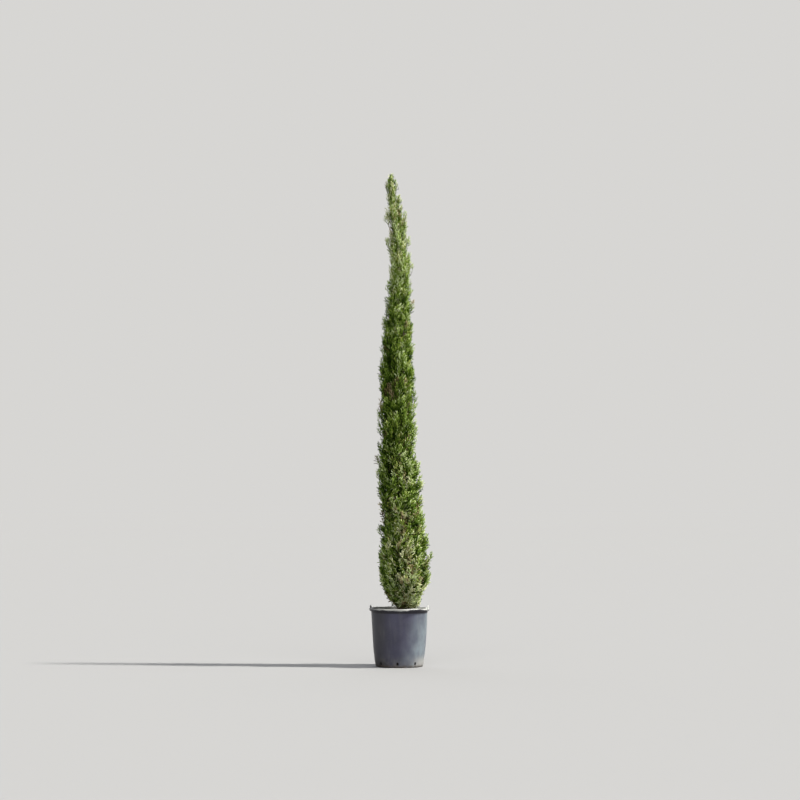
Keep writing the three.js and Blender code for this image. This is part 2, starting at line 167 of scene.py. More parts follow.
def tube(path, radii, sides, twist=0.0, close_end=True):
    """Rings along a path, with a point at its end. Returns vertices and triangles."""
    path, radii = np.asarray(path, float), np.asarray(radii, float)
    tan = unit(np.gradient(path, axis=0))
    ref = np.array([0.0, 1.0, 0.0]) if abs(tan[0][1]) < 0.9 else np.array([1.0, 0.0, 0.0])
    us = []
    u = unit(ref - tan[0] * (ref @ tan[0]))
    for t in tan:
        u = unit(u - t * (u @ t))
        us.append(u)
    us = np.array(us)
    ws = np.cross(tan, us)
    a = np.arange(sides) / sides * 2 * math.pi + twist
    ring = us[:, None] * np.cos(a)[None, :, None] + ws[:, None] * np.sin(a)[None, :, None]
    n = len(path)
    V = (path[:, None] + ring * radii[:, None, None] if radii.ndim == 1 else path[:, None] + ring * radii[:, :, None]).reshape(-1, 3)
    T = []
    i = np.arange(sides)
    j = (i + 1) % sides
    for k in range(n - 1):
        p, q, r, s = k * sides + i, k * sides + j, (k + 1) * sides + j, (k + 1) * sides + i
        T += [np.stack([p, q, r], 1), np.stack([p, r, s], 1)]
    if close_end:
        V = np.vstack([V, path[-1] + tan[-1] * np.max(radii[-1]) * 0.8])
        e = (n - 1) * sides
        T.append(np.stack([e + i, e + j, np.full(sides, len(V) - 1)], 1))
    return V, np.vstack(T)


def joined(parts):
    V, T, off = [], [], 0
    for v, t in parts:
        V.append(v)
        T.append(t + off)
        off += len(v)
    return np.vstack(V), np.vstack(T)


# ------------------------------------------------------------------ materials
def plain(name, color, roughness=0.62, specular=0.35):
    m = bpy.data.materials.new(name)
    m.use_nodes = True
    b = m.node_tree.nodes["Principled BSDF"]
    b.inputs["Base Color"].default_value = (*color, 1)
    b.inputs["Roughness"].default_value = roughness
    b.inputs["Specular IOR Level"].default_value = specular
    return m


class Nodes:
    """Short hands for building a material's nodes."""

    def __init__(self, name):
        self.m = bpy.data.materials.new(name)
        self.m.use_nodes = True
        self.t = self.m.node_tree
        self.b = self.t.nodes["Principled BSDF"]
        c = self.t.nodes.new("ShaderNodeTexCoord")
        self.xyz = c.outputs["Object"]

    def link(self, a, b):
        self.t.links.new(a, b)

    def scaled(self, s, shift=(0, 0, 0)):
        n = self.t.nodes.new("ShaderNodeMapping")
        n.inputs["Scale"].default_value = s
        n.inputs["Location"].default_value = shift
        self.link(self.xyz, n.inputs["Vector"])
        return n.outputs[0]

    def noise(self, scale, detail=4, rough=0.55, vec=None, distortion=0.0):
        n = self.t.nodes.new("ShaderNodeTexNoise")
        n.inputs["Scale"].default_value = scale
        n.inputs["Detail"].default_value = detail
        n.inputs["Roughness"].default_value = rough
        n.inputs["Distortion"].default_value = distortion
        self.link(vec if vec is not None else self.xyz, n.inputs["Vector"])
        return n.outputs["Fac"]

    def voronoi(self, scale, vec=None, feature="F1"):
        n = self.t.nodes.new("ShaderNodeTexVoronoi")
        n.feature = feature
        n.inputs["Scale"].default_value = scale
        self.link(vec if vec is not None else self.xyz, n.inputs["Vector"])
        return n.outputs["Distance"]

    def ramp(self, fac, a, b, lo=0.0, hi=1.0):
        n = self.t.nodes.new("ShaderNodeMapRange")
        n.interpolation_type = "SMOOTHSTEP"
        n.inputs["From Min"].default_value, n.inputs["From Max"].default_value = a, b
        n.inputs["To Min"].default_value, n.inputs["To Max"].default_value = lo, hi
        self.link(fac, n.inputs["Value"])
        return n.outputs["Result"]

    def math(self, op, a, b=None):
        n = self.t.nodes.new("ShaderNodeMath")
        n.operation = op
        for i, v in enumerate((a, b)):
            if v is None:
                continue
            if isinstance(v, (int, float)):
                n.inputs[i].default_value = v
            else:
                self.link(v, n.inputs[i])
        return n.outputs[0]

    def mix(self, fac, a, b):
        n = self.t.nodes.new("ShaderNodeMix")
        n.data_type = "RGBA"
        if isinstance(fac, (int, float)):
            n.inputs[0].default_value = fac
        else:
            self.link(fac, n.inputs[0])
        for s, v in ((6, a), (7, b)):
            if isinstance(v, tuple):
                n.inputs[s].default_value = (*v, 1)
            else:
                self.link(v, n.inputs[s])
        return n.outputs[2]

    def split(self, vec=None):
        n = self.t.nodes.new("ShaderNodeSeparateXYZ")
        self.link(vec if vec is not None else self.xyz, n.inputs[0])
        return n.outputs

    def bump(self, height, distance, strength=1.0, under=None):
        n = self.t.nodes.new("ShaderNodeBump")
        n.inputs["Distance"].default_value = distance
        n.inputs["Strength"].default_value = strength
        self.link(height, n.inputs["Height"])
        if under is not None:
            self.link(under, n.inputs["Normal"])
        return n.outputs[0]

    def done(self, color, roughness, normal=None, specular=0.4):
        self.link(color, self.b.inputs["Base Color"])
        if isinstance(roughness, (int, float)):
            self.b.inputs["Roughness"].default_value = roughness
        else:
            self.link(roughness, self.b.inputs["Roughness"])
        if normal is not None:
            self.link(normal, self.b.inputs["Normal"])
        self.b.inputs["Specular IOR Level"].default_value = specular
        return self.m


def pot_material():
    s = Nodes("pot_plastic")
    x, y, z = s.split()
    cloudy = s.noise(7.0, 5, 0.6)
    streaks = s.noise(1.0, 5, 0.6, s.scaled((38, 38, 3.2)), 0.4)
    blotch = s.noise(19, 4, 0.55, s.scaled((1, 1, 0.55), (3, 1, 2)))
    grain = s.noise(420, 2, 0.5)
    scuffs = s.noise(1.0, 3, 0.5, s.scaled((26, 26, 240), (5, 0, 0)))
    base = s.mix(s.ramp(cloudy, 0.3, 0.7), (0.043, 0.0425, 0.070), (0.064, 0.063, 0.101))
    # painted shade: the plastic is darker towards -X, the side away from the sun
    base = s.mix(s.ramp(x, -0.030, -0.125, 0, 0.85), base, (0.036, 0.0345, 0.040))
    # painted shadow of the lip: just below the lip the painted sun side is held back, so the plastic stays dark there
    clear_of_painted_lip_shadow = s.ramp(z, 0.332, 0.321)
    # painted light: the +X side, where the sun falls, is painted pale bluish grey in mottled patches, its edge slanting
    # across the pot
    painted_sun_slant = s.math("SUBTRACT", x, s.math("MULTIPLY", s.math("SUBTRACT", z, 0.15), 0.28))
    painted_sun_side = s.math("MULTIPLY", s.ramp(painted_sun_slant, 0.0, 0.168, 0.03, 1.0), s.ramp(blotch, 0.28, 0.66, 0.42, 1.0))
    base = s.mix(s.math("MULTIPLY", painted_sun_side, clear_of_painted_lip_shadow), base, (0.212, 0.258, 0.290))
    # painted shadow: a near black band right under the lip
    base = s.mix(s.ramp(z, 0.323, 0.331, 0, 0.8), base, (0.014, 0.013, 0.016))
    dust = s.math("MULTIPLY", s.ramp(streaks, 0.42, 0.78), s.ramp(blotch, 0.30, 0.72))
    low = s.ramp(z, 0.09, 0.0)
    dust = s.math("ADD", s.math("MULTIPLY", dust, 0.30), s.math("MULTIPLY", low, s.ramp(s.noise(30, 5, 0.65), 0.35, 0.7, 0.05, 0.60)))
    dusty = s.mix(dust, base, (0.170, 0.166, 0.156))
    # paler towards +X at the foot, and darker at the foot on the other side
    dusty = s.mix(s.math("MULTIPLY", s.ramp(z, 0.085, 0.028, 0, 0.8), s.ramp(x, 0.060, 0.130)), dusty, (0.350, 0.345, 0.335))
    dusty = s.mix(s.math("MULTIPLY", s.ramp(z, 0.065, 0.010, 0, 0.65), s.ramp(x, -0.050, -0.115)), dusty, (0.022, 0.020, 0.015))
    scuffed = s.mix(s.ramp(scuffs, 0.66, 0.80, 0, 0.35), dusty, (0.20, 0.20, 0.21))
    splash = s.math("MULTIPLY", s.ramp(z, 0.022, 0.004), s.ramp(s.noise(48, 4, 0.6, s.scaled((1, 1, 0.5), (7, 2, 1))), 0.38, 0.62, 0.25, 0.85))
    soiled = s.mix(splash, scuffed, (0.085, 0.064, 0.045))
    # the lip is pale, down its skirt to a wavy line and a little way inside: partly bleached plastic, and partly
    # painted light, as the band inside stands for the sunlit inner wall
    turn = s.math("ARCTAN2", x, s.math("MULTIPLY", y, -1.0))
    notch = s.ramp(s.math("ABSOLUTE", s.math("SUBTRACT", turn, 0.60)), 0.40, 0.14, 0.0, 0.0065)
    wavy = s.math("MULTIPLY", s.math("SUBTRACT", s.noise(15, 3, 0.6), 0.5), 0.020)
    wavy = s.math("ADD", wavy, s.math("MULTIPLY", s.math("SUBTRACT", s.noise(120, 4, 0.65), 0.5), 0.008))
    line = s.math("SUBTRACT", s.math("SUBTRACT", z, notch), wavy)
    r = s.math("SQRT", s.math("ADD", s.math("POWER", x, 2.0), s.math("POWER", y, 2.0)))
    on_lip = s.math("MAXIMUM", s.ramp(r, 0.1728, 0.1744), s.ramp(z, 0.348, 0.351))
    outside = s.math("MULTIPLY", s.ramp(line, 0.3440, 0.3482), on_lip)
    inside = s.math("MULTIPLY", s.ramp(line, 0.3300, 0.3410), s.ramp(r, 0.1706, 0.1696))
    lip = s.math("MULTIPLY", s.math("MAXIMUM", outside, inside), s.ramp(s.noise(38, 4, 0.6), 0.25, 0.62, 0.55, 1.0))
    # painted shade at the -X end of the lip, which is in shade, and painted light towards +X, where the sun falls,
    # which makes the lip paler there
    lip = s.math("MULTIPLY", lip, s.ramp(x, -0.172, -0.120, 0.18, 1.0))
    pale = s.mix(s.ramp(x, 0.0, 0.10), (0.355, 0.363, 0.350), (0.50, 0.51, 0.49))
    color = s.mix(lip, soiled, pale)
    rough = s.ramp(s.math("ADD", s.math("MULTIPLY", dust, 0.6), s.math("MULTIPLY", cloudy, 0.5)), 0.1, 0.8, 0.40, 0.66)
    n1 = s.bump(s.noise(9, 2, 0.5), 0.006, 0.35)
    n2 = s.bump(grain, 0.0004, 0.35, n1)
    return s.done(color, rough, n2, 0.28)


def soil_material():
    s = Nodes("compost")
    a = s.noise(60, 6, 0.65)
    b = s.voronoi(150)
    dark, light = (0.040, 0.030, 0.022), (0.155, 0.118, 0.082)
    color = s.mix(s.ramp(a, 0.32, 0.72), dark, light)
    color = s.mix(s.ramp(b, 0.25, 0.02, 0, 0.5), color, (0.20, 0.165, 0.125))
    # painted shade: the compost is near black low down, where the drain slots show it
    color = s.mix(s.ramp(s.split()[2], 0.297, 0.232), color, (0.010, 0.008, 0.006))
    n = s.bump(s.noise(220, 5, 0.7), 0.003, 0.9)
    return s.done(color, 0.93, n, 0.2)


def bark_material(name="bark", dark=(0.075, 0.052, 0.036), light=(0.27, 0.205, 0.15)):
    s = Nodes(name)
    fibre = s.noise(1.0, 5, 0.6, s.scaled((210, 210, 16)), 0.6)
    patch = s.noise(14, 4, 0.55)
    lichen = s.noise(34, 4, 0.6, s.scaled((1, 1, 0.7), (2, 5, 1)))
    color = s.mix(s.ramp(fibre, 0.33, 0.68), dark, light)
    color = s.mix(s.ramp(patch, 0.40, 0.75, 0, 0.55), color, (0.235, 0.205, 0.175))
    color = s.mix(s.ramp(lichen, 0.60, 0.78, 0, 0.6), color, (0.21, 0.235, 0.165))
    n = s.bump(fibre, 0.0016, 0.8, s.bump(s.noise(90, 4, 0.6), 0.001, 0.5))
    return s.done(color, s.ramp(fibre, 0.3, 0.7, 0.95, 0.78), n, 0.25)


# Plain greens from dark to pale, then young ones, partly painted highlight, and dry ones.
GREENS = [
    (0.011, 0.026, 0.002),
    (0.023, 0.051, 0.003),
    (0.043, 0.086, 0.006),
    (0.072, 0.131, 0.011),
    (0.110, 0.184, 0.017),
    (0.160, 0.248, 0.030),
    (0.222, 0.320, 0.056),
    (0.298, 0.402, 0.104),
    (0.398, 0.500, 0.185),
    (0.540, 0.630, 0.330),
]
# the palest five again, creamier, for young growth and for painted highlights
YOUNG_HIGHLIT = [(0.186, 0.242, 0.033), (0.262, 0.320, 0.064), (0.362, 0.415, 0.125), (0.485, 0.530, 0.230), (0.650, 0.680, 0.405)]
DRY = [(0.072, 0.056, 0.020), (0.142, 0.112, 0.042), (0.240, 0.196, 0.086), (0.370, 0.320, 0.172)]
PALETTE = [plain(f"leaf_green_{i + 1}", c, 0.66 - 0.01 * i, 0.05) for i, c in enumerate(GREENS)]
PALETTE += [plain(f"leaf_dry_{i + 1}", c, 0.8, 0.1) for i, c in enumerate(DRY)]
PALETTE += [plain(f"leaf_young_highlit_{i + 1}", c, 0.62, 0.05) for i, c in enumerate(YOUNG_HIGHLIT)]
N_GREEN, N_DRY = len(GREENS), len(DRY)

# ------------------------------------------------------------------ reading the solids
PLUMES = sorted(n for n in NODES if n.startswith("plume_")) + ["side_tip", "leader_plume"]


def solid(name):
    me = NODES[name].data
    me.calc_loop_triangles()
    v = np.zeros(len(me.vertices) * 3, np.float32)
    me.vertices.foreach_get("co", v)
    t = np.zeros(len(me.loop_triangles) * 3, np.int32)
    me.loop_triangles.foreach_get("vertices", t)
    return v.reshape(-1, 3).astype(float), t.reshape(-1, 3)


def section(V, T, z):
    """Area and middle of a solid's cut at height z."""
    P = V[T]
    d = P[..., 2] - z
    up = d > 0
    hit = ~(up.all(1) | (~up).all(1))
    if not hit.any():
        return 0.0, None
    P, d, up = P[hit], d[hit], up[hit]
    area = cx = cy = 0.0
    for p, q, u in zip(P, d, up):
        pts = []
        for i in range(3):
            j = (i + 1) % 3
            if u[i] != u[j]:
                t = q[i] / (q[i] - q[j])
                pts.append((u[i], p[i] + t * (p[j] - p[i])))
        if len(pts) != 2:
            continue
        # the edge that goes down comes first, so that all pieces run the same way round
        a, b = (pts[0][1], pts[1][1]) if pts[0][0] else (pts[1][1], pts[0][1])
        c = a[0] * b[1] - b[0] * a[1]
        area += c / 2
        cx += (a[0] + b[0]) * c / 6
        cy += (a[1] + b[1]) * c / 6
    if abs(area) < 1e-7:
        return 0.0, None
    return abs(area), np.array([cx / area, cy / area])


SOLIDS = {n: solid(n) for n in PLUMES + ["trunk"]}


def spine(name, step):
    V, T = SOLIDS[name]
    lo, hi = V[:, 2].min(), V[:, 2].max()
    zs = np.linspace(lo + 0.004, hi - 0.004, max(8, int((hi - lo) / step)))
    rows = []
    for z in zs:
        a, c = section(V, T, z)
        if c is not None:
            rows.append([c[0], c[1], z, a])
    return np.array(rows)


def smooth_path(p, passes=3):
    p = p.copy()
    for _ in range(passes):
        p[1:-1] = (p[:-2] + 2 * p[1:-1] + p[2:]) / 4
    return p


SPINE = {n: spine(n, 0.02) for n in PLUMES}
TRUNK = spine("trunk", 0.02)


def trunk_at(z):
    z = np.asarray(z, float)
    return np.stack([np.interp(z, TRUNK[:, 2], TRUNK[:, 0]), np.interp(z, TRUNK[:, 2], TRUNK[:, 1]), z], -1)


def trunk_radius(z):
    return np.sqrt(np.interp(z, TRUNK[:, 2], TRUNK[:, 3]) / math.pi)


# middle of the whole crown at each height
ZS = np.linspace(0.353, 2.995, 160)
acc = np.zeros((len(ZS), 3))
for n in PLUMES:
    s = SPINE[n]
    a = np.interp(ZS, s[:, 2], s[:, 3], 0, 0)
    acc[:, 0] += a * np.interp(ZS, s[:, 2], s[:, 0])
    acc[:, 1] += a * np.interp(ZS, s[:, 2], s[:, 1])
    acc[:, 2] += a
acc[:, :2] /= np.maximum(acc[:, 2:], 1e-9)


def crown_middle(z):
    return np.stack([np.interp(z, ZS, acc[:, 0]), np.interp(z, ZS, acc[:, 1])], -1)


def crown_radius(z):
    return np.sqrt(np.interp(z, ZS, acc[:, 2]) / math.pi)


allV, allT, owner = [], [], []
off = 0
for k, n in enumerate(PLUMES):
    V, T = SOLIDS[n]
    allV.append(V)
    allT.append(T + off)
    owner += [k] * len(T)
    off += len(V)
allV, allT, owner = np.vstack(allV), np.vstack(allT), np.array(owner)
CROWN = BVHTree.FromPolygons(allV.tolist(), allT.tolist())

# ------------------------------------------------------------------ boughs
# Each mass has one bough: it leaves the trunk below the mass and runs up the mass's own middle.
BOUGH = {}
for n in PLUMES:
    s = SPINE[n][:, :3]
    low = n in PLUMES[:5]
    if n == "leader_plume":
        BOUGH[n] = trunk_at(np.linspace(s[0, 2], s[-1, 2] - 0.03, 40))
        continue
    s = s[::2]
    drop = 0.012 if low else 0.10
    z0 = max(float(TRUNK[0, 2]) + 0.010, s[0, 2] - drop - 0.02)
    start = trunk_at(z0)
    end = s[1] if len(s) > 3 else s[0]
    t = np.linspace(0, 1, 7)[:-1, None]
    lead = start + (end - start) * np.stack([t[:, 0] ** 0.75, t[:, 0] ** 0.75, t[:, 0]], 1)
    path = np.vstack([lead, s[1:-1]])
    wob = waves(500 + PLUMES.index(n), (0.12,), 4)
    path[:, 0] += 0.003 * wob(path[:, 2:3])
    path[:, 1] += 0.003 * wob(path[:, 2:3] + 7)
    # it stays under the skin of the crown
    for q in path:
        m = crown_middle(q[2])
        r = math.hypot(q[0] - m[0], q[1] - m[1])
        if r < 0.01:
            continue
        h = Vector(((q[0] - m[0]) / r, (q[1] - m[1]) / r, 0))
        loc, nor, face, dist = CROWN.ray_cast(Vector((m[0], m[1], q[2])) + h * 0.5, -h)
        if loc is None:
            continue
        most = max(0.5 - dist - 0.046, 0.42 * (0.5 - dist))
        if r > most:
            q[0], q[1] = m[0] + h.x * most, m[1] + h.y * most
    BOUGH[n] = smooth_path(path, 4)


def bough_at(n, z):
    b = BOUGH[n]
    z = np.clip(z, b[0, 2], b[-1, 2])
    return np.array([np.interp(z, b[:, 2], b[:, 0]), np.interp(z, b[:, 2], b[:, 1]), z])


# ------------------------------------------------------------------ sprays of scale-leaved cords
def cord(p0, p1, r, bend, g, full=True):
    """A three-sided cord from p0 to p1: bent, with a short point, in 9 faces, or straight, with a slanting point, in 7."""
    d = p1 - p0
    t = unit(d)
    u = unit(np.cross(t, g.normal(size=3)))
    w = np.cross(t, u)
    a = np.arange(3) / 3 * 2 * math.pi
    ring = np.cos(a)[:, None] * u + np.sin(a)[:, None] * w
    if full:
        V = np.vstack([p0 + ring * r * 0.8, p0 + d * 0.72 + bend + ring * r, p1 + bend * 0.4])
        T = [[0, 1, 4], [0, 4, 3], [1, 2, 5], [1, 5, 4], [2, 0, 3], [2, 3, 5], [3, 4, 6], [4, 5, 6], [5, 3, 6]]
    else:
        p1 = p1 + d * 0.10
        V = np.vstack([p0 + ring * r, p1 - d * 0.40 + ring[0] * r * 1.05, p1 - d * 0.22 + ring[1] * r * 0.85, p1 + ring[2] * r * 0.15])
        T = [[0, 1, 4], [0, 4, 3], [1, 2, 5], [1, 5, 4], [2, 0, 3], [2, 3, 5], [3, 4, 5]]
    return V, np.array(T)


def spray_variant(seed, stout, sides=9, subs=15):
    """A spray one unit long: an axis with side cords all round, and smaller ones on them. Each face has a step in the palette: dark low down and inside, pale at the tips."""
    g = np.random.default_rng(seed)
    Vs, Ts, Gs, off = [], [], [], 0

    def put(v, t, k):
        nonlocal off
        Vs.append(v)
        Ts.append(t + off)
        Gs.append(np.full(len(t), k))
        off += len(v)

    sway = g.normal(0, 0.05, 2)
    axis = lambda t: np.array([sway[0] * math.sin(3 * t), sway[1] * math.sin(2.5 * t), t])
    put(*tube([axis(t) for t in (0, 0.3, 0.6, 0.9)], [0.023, 0.022, 0.020, 0.017], 3), -2)
    turn = g.uniform(0, 6.28)
    up = np.array([0, 0, 1.0])
    made = []
    for i in range(sides):
        t = 0.10 + 0.80 * (i + g.uniform(0.2, 0.8)) / sides
        phi = turn + i * 2.399 + g.normal(0, 0.25)
        al = math.radians(48 - 22 * t + g.normal(0, 6))
        l = (0.42 - 0.18 * t) * g.uniform(0.82, 1.2)
        side = np.array([math.cos(phi), 0.75 * math.sin(phi), 0])
        d = unit(side * math.sin(al) + np.array([0, 0, math.cos(al)]))
        p0 = axis(t)
        p1 = p0 + d * l + up * 0.16 * l
        bend = -up * 0.05 * l + side * 0.03 * l
        step = (-2 if t < 0.3 else (0 if t < 0.55 else 1)) + int(g.choice([-2, -1, 0, 1, 2, 3], p=[0.10, 0.20, 0.28, 0.20, 0.14, 0.08]))
        put(*cord(p0, p1, 0.0235 * stout * g.uniform(0.9, 1.15), bend, g), step)
        made.append((p0, p1, d, l, bend, t, step))
    for k in range(subs):
        p0, p1, d, l, bend, t, step = made[k % sides]
        f = (0.48 if k < sides else 0.74) + g.normal(0, 0.05)
        q0 = p0 + (p1 - p0) * f + bend * 0.8
        out = unit(np.cross(d, g.normal(size=3)))
        a2 = math.radians(g.uniform(32, 54))
        q1 = q0 + (d * math.cos(a2) + out * math.sin(a2) + up * 0.12) * l * g.uniform(0.42, 0.62)
        put(*cord(q0, q1, 0.0215 * stout * g.uniform(0.9, 1.15), up * 0, g, False), step + 1)
    return np.vstack(Vs), np.vstack(Ts), np.concatenate(Gs)


def filler_variant(seed):
    """A plainer spray for the inside of the crown."""
    g = np.random.default_rng(seed)
    Vs, Ts, off = [], [], 0
    for i in range(11):
        t = 0.05 + 0.62 * i / 11
        phi = i * 2.399 + g.normal(0, 0.3)
        al = math.radians(g.uniform(18, 50))
        d = np.array([math.cos(phi) * math.sin(al), math.sin(phi) * math.sin(al), math.cos(al)])
        l = g.uniform(0.34, 0.5)
        v, k = cord(np.array([0, 0, t]), np.array([0, 0, t]) + d * l, 0.036 * g.uniform(0.8, 1.2), np.zeros(3), g, False)
        Vs.append(v)
        Ts.append(k + off)
        off += len(v)
    V, T = np.vstack(Vs), np.vstack(Ts)
    return V, T, np.zeros(len(T), int)


# the last ones are stouter, for the foot of the crown
SLIM, STOUT = 18, 14
VARIANTS = [spray_variant(100 + i, 1.0 if i < SLIM else 1.28) for i in range(SLIM + STOUT)]
FILLERS = [filler_variant(300 + i) for i in range(10)]


BOX_LO = np.array(CAD_BOX[0]) - [0.014, 0.014, 0]
BOX_HI = np.array(CAD_BOX[1]) + [0.014, 0.014, 0.012]


def place(variant, base, fwd, roll, length, width, lift):
    """Copies of one variant. lift bends each copy upwards along its length."""
    V0, T0, _ = variant
    fwd = unit(fwd)
    ref = np.where(np.abs(fwd[:, 2:3]) > 0.95, np.array([[1.0, 0, 0]]), np.array([[0, 0, 1.0]]))
    x = unit(np.cross(ref, fwd))
    y = np.cross(fwd, x)
    c, s = np.cos(roll)[:, None], np.sin(roll)[:, None]
    x, y = x * c + y * s, y * c - x * s
    P = (
        base[:, None]
        + x[:, None] * (V0[None, :, 0:1] * (length * width)[:, None, None])
        + y[:, None] * (V0[None, :, 1:2] * (length * width)[:, None, None])
        + fwd[:, None] * (V0[None, :, 2:3] * length[:, None, None])
    )
    P[..., 2] += (V0[None, :, 2] ** 2) * (lift * length)[:, None]
    P -= np.maximum(P.max(1) - BOX_HI, 0)[:, None]
    P += np.maximum(BOX_LO - P.min(1), 0)[:, None]
    n = len(V0)
    T = T0[None] + (np.arange(len(base)) * n)[:, None, None]
    return P.reshape(-1, 3), T.reshape(-1, 3)


# ------------------------------------------------------------------ where the sprays end: points over the crown's skin
def skin_points(spacing, seed):
    g = np.random.default_rng(seed)
    out = []
    z, row = 0.350, 0
    while z < 2.992:
        mid, R = crown_middle(z), float(crown_radius(z))
        n = max(3, int(round(2 * math.pi * max(R, 0.012) / spacing)))
        for i in range(n):
            zz = min(2.994, z + g.uniform(-0.5, 0.5) * spacing * 0.9)
            th = (i + 0.5 * (row % 2) + g.uniform(-0.42, 0.42)) / n * 2 * math.pi
            h = Vector((math.cos(th), math.sin(th), 0))
            m = crown_middle(zz)
            o = Vector((m[0], m[1], zz)) + h * 0.5
            loc, nor, face, dist = CROWN.ray_cast(o, -h)
            if loc is None:
                continue
            r = 0.5 - dist
            if r < -0.01:
                continue
            out.append([loc.x, loc.y, loc.z, th, owner[face], max(r, 0.0)])
        z += spacing * 0.86
        row += 1
    return np.array(out)


clump = waves(11, (0.030, 0.075), 9)  # lumps over the skin, in metres round and up
holes = waves(12, (0.016, 0.050), 9)
tone = waves(13, (0.045, 0.12), 8)
tan_field = waves(14, (0.05, 0.09), 8)
lean = waves(15, (0.050, 0.11), 8)
rise = waves(16, (0.045, 0.09), 8)


def skin_uv(p):
    R = np.maximum(crown_radius(p[:, 2]), 0.04)
    # the same place gives the same value all round, with no seam
    return np.stack([np.sin(p[:, 3]) * R * 1.6 + np.cos(2 * p[:, 3]) * 0.02, p[:, 2] + 0.05 * np.cos(p[:, 3])], -1)


# where the foliage stands a little further out or in than its mass, on the -X side and on the +X side: height, metres
OUT_LEFT = np.array([
    [0.40, -0.010], [0.44, 0.012], [0.50, 0.011], [0.66, 0.003], [0.80, -0.001], [0.95, -0.002], [1.13, -0.002], [1.27, -0.015], [1.42, -0.010],
    [1.55, -0.006], [1.68, 0.002], [1.80, -0.002], [1.98, -0.004], [2.17, -0.004], [2.37, 0.002], [2.55, -0.009], [2.75, -0.003], [2.90, -0.002],
])
OUT_RIGHT = np.array([
    [0.40, -0.002], [0.50, 0.003], [0.58, -0.007], [0.65, -0.017], [0.80, -0.007], [0.95, 0.001], [1.08, -0.006], [1.21, 0.004], [1.35, -0.005],
    [1.46, -0.001], [1.57, -0.010], [1.75, 0.001], [2.00, 0.0], [2.17, 0.001], [2.33, 0.005], [2.50, 0.0], [2.70, -0.001], [2.87, -0.003],
])


def spray_set(P, kind, g):
    """Base, direction and size of one spray for each skin point."""
    k = len(P)
    z = P[:, 2]
    uv = skin_uv(P)
    h = np.stack([np.cos(P[:, 3]), np.sin(P[:, 3]), np.zeros(k)], -1)
    side = np.stack([-h[:, 1], h[:, 0], np.zeros(k)], -1)
    el = np.interp(z, [0.345, 0.40, 0.55, 0.9, 1.6, 2.4, 3.0], [4, 24, 42, 54, 62, 68, 76])
    el = el + 11 * rise(uv) * np.interp(z, [0.4, 1.2, 2.4], [1.6, 1.1, 0.7]) + g.normal(0, 7, k)
    el = np.radians(np.clip(el, -24, 86))
    sway = (0.42 * lean(uv) + g.normal(0, 0.17, k)) * np.interp(z, [0.4, 1.4, 2.8], [1.15, 1.0, 0.7])
    d = h * np.cos(el)[:, None] + side * sway[:, None]
    d[:, 2] += np.sin(el)
    d = unit(d)
    length = np.interp(z, [0.345, 0.8, 1.6, 2.4, 2.8, 3.0], [0.070, 0.074, 0.068, 0.060, 0.052, 0.044]) * g.uniform(0.75, 1.25, k)
    lump = clump(uv)
    if kind == "outer":
        off = np.minimum(-0.0225 + 0.012 * lump + g.normal(0, 0.0035, k), 0.000)
        off = np.maximum(off, -0.65 * P[:, 5])
        stray = g.random(k) < 0.05
        off = np.where(stray, g.uniform(-0.010, 0.003, k), off)
        off = off + np.interp(z, *OUT_LEFT.T) * np.clip(-h[:, 0], 0, 1) + np.interp(z, *OUT_RIGHT.T) * np.clip(h[:, 0], 0, 1)
    else:
        off = -np.minimum(0.032 + 0.03 * g.random(k), 0.6 * P[:, 5])
        length = length * 1.15
        lump = lump * 0.5
    tip = P[:, :3] + h * off[:, None]
    tip[:, 2] = np.minimum(tip[:, 2], 3.004)
    base = tip - d * length[:, None]
    return dict(tip=tip, base=base, d=d, length=length, off=off, lump=lump, uv=uv, z=z, th=P[:, 3], own=P[:, 4].astype(int))


# dry places on the crown: height, turn from +X towards the back, size up, size round, strength
DRY_PLACES = [
    (1.715, -98, 0.045, 20, 0.58),
    (1.18, -98, 0.045, 22, 0.42),
    (0.575, -80, 0.045, 15, 0.46),
    (0.66, -84, 0.03, 12, 0.30),
    (0.39, -60, 0.03, 30, 0.12),
    (0.62, 150, 0.07, 30, 0.40),
    (1.35, 60, 0.06, 26, 0.35),
    (0.95, 110, 0.05, 22, 0.35),
    (1.95, 170, 0.06, 30, 0.30),
]


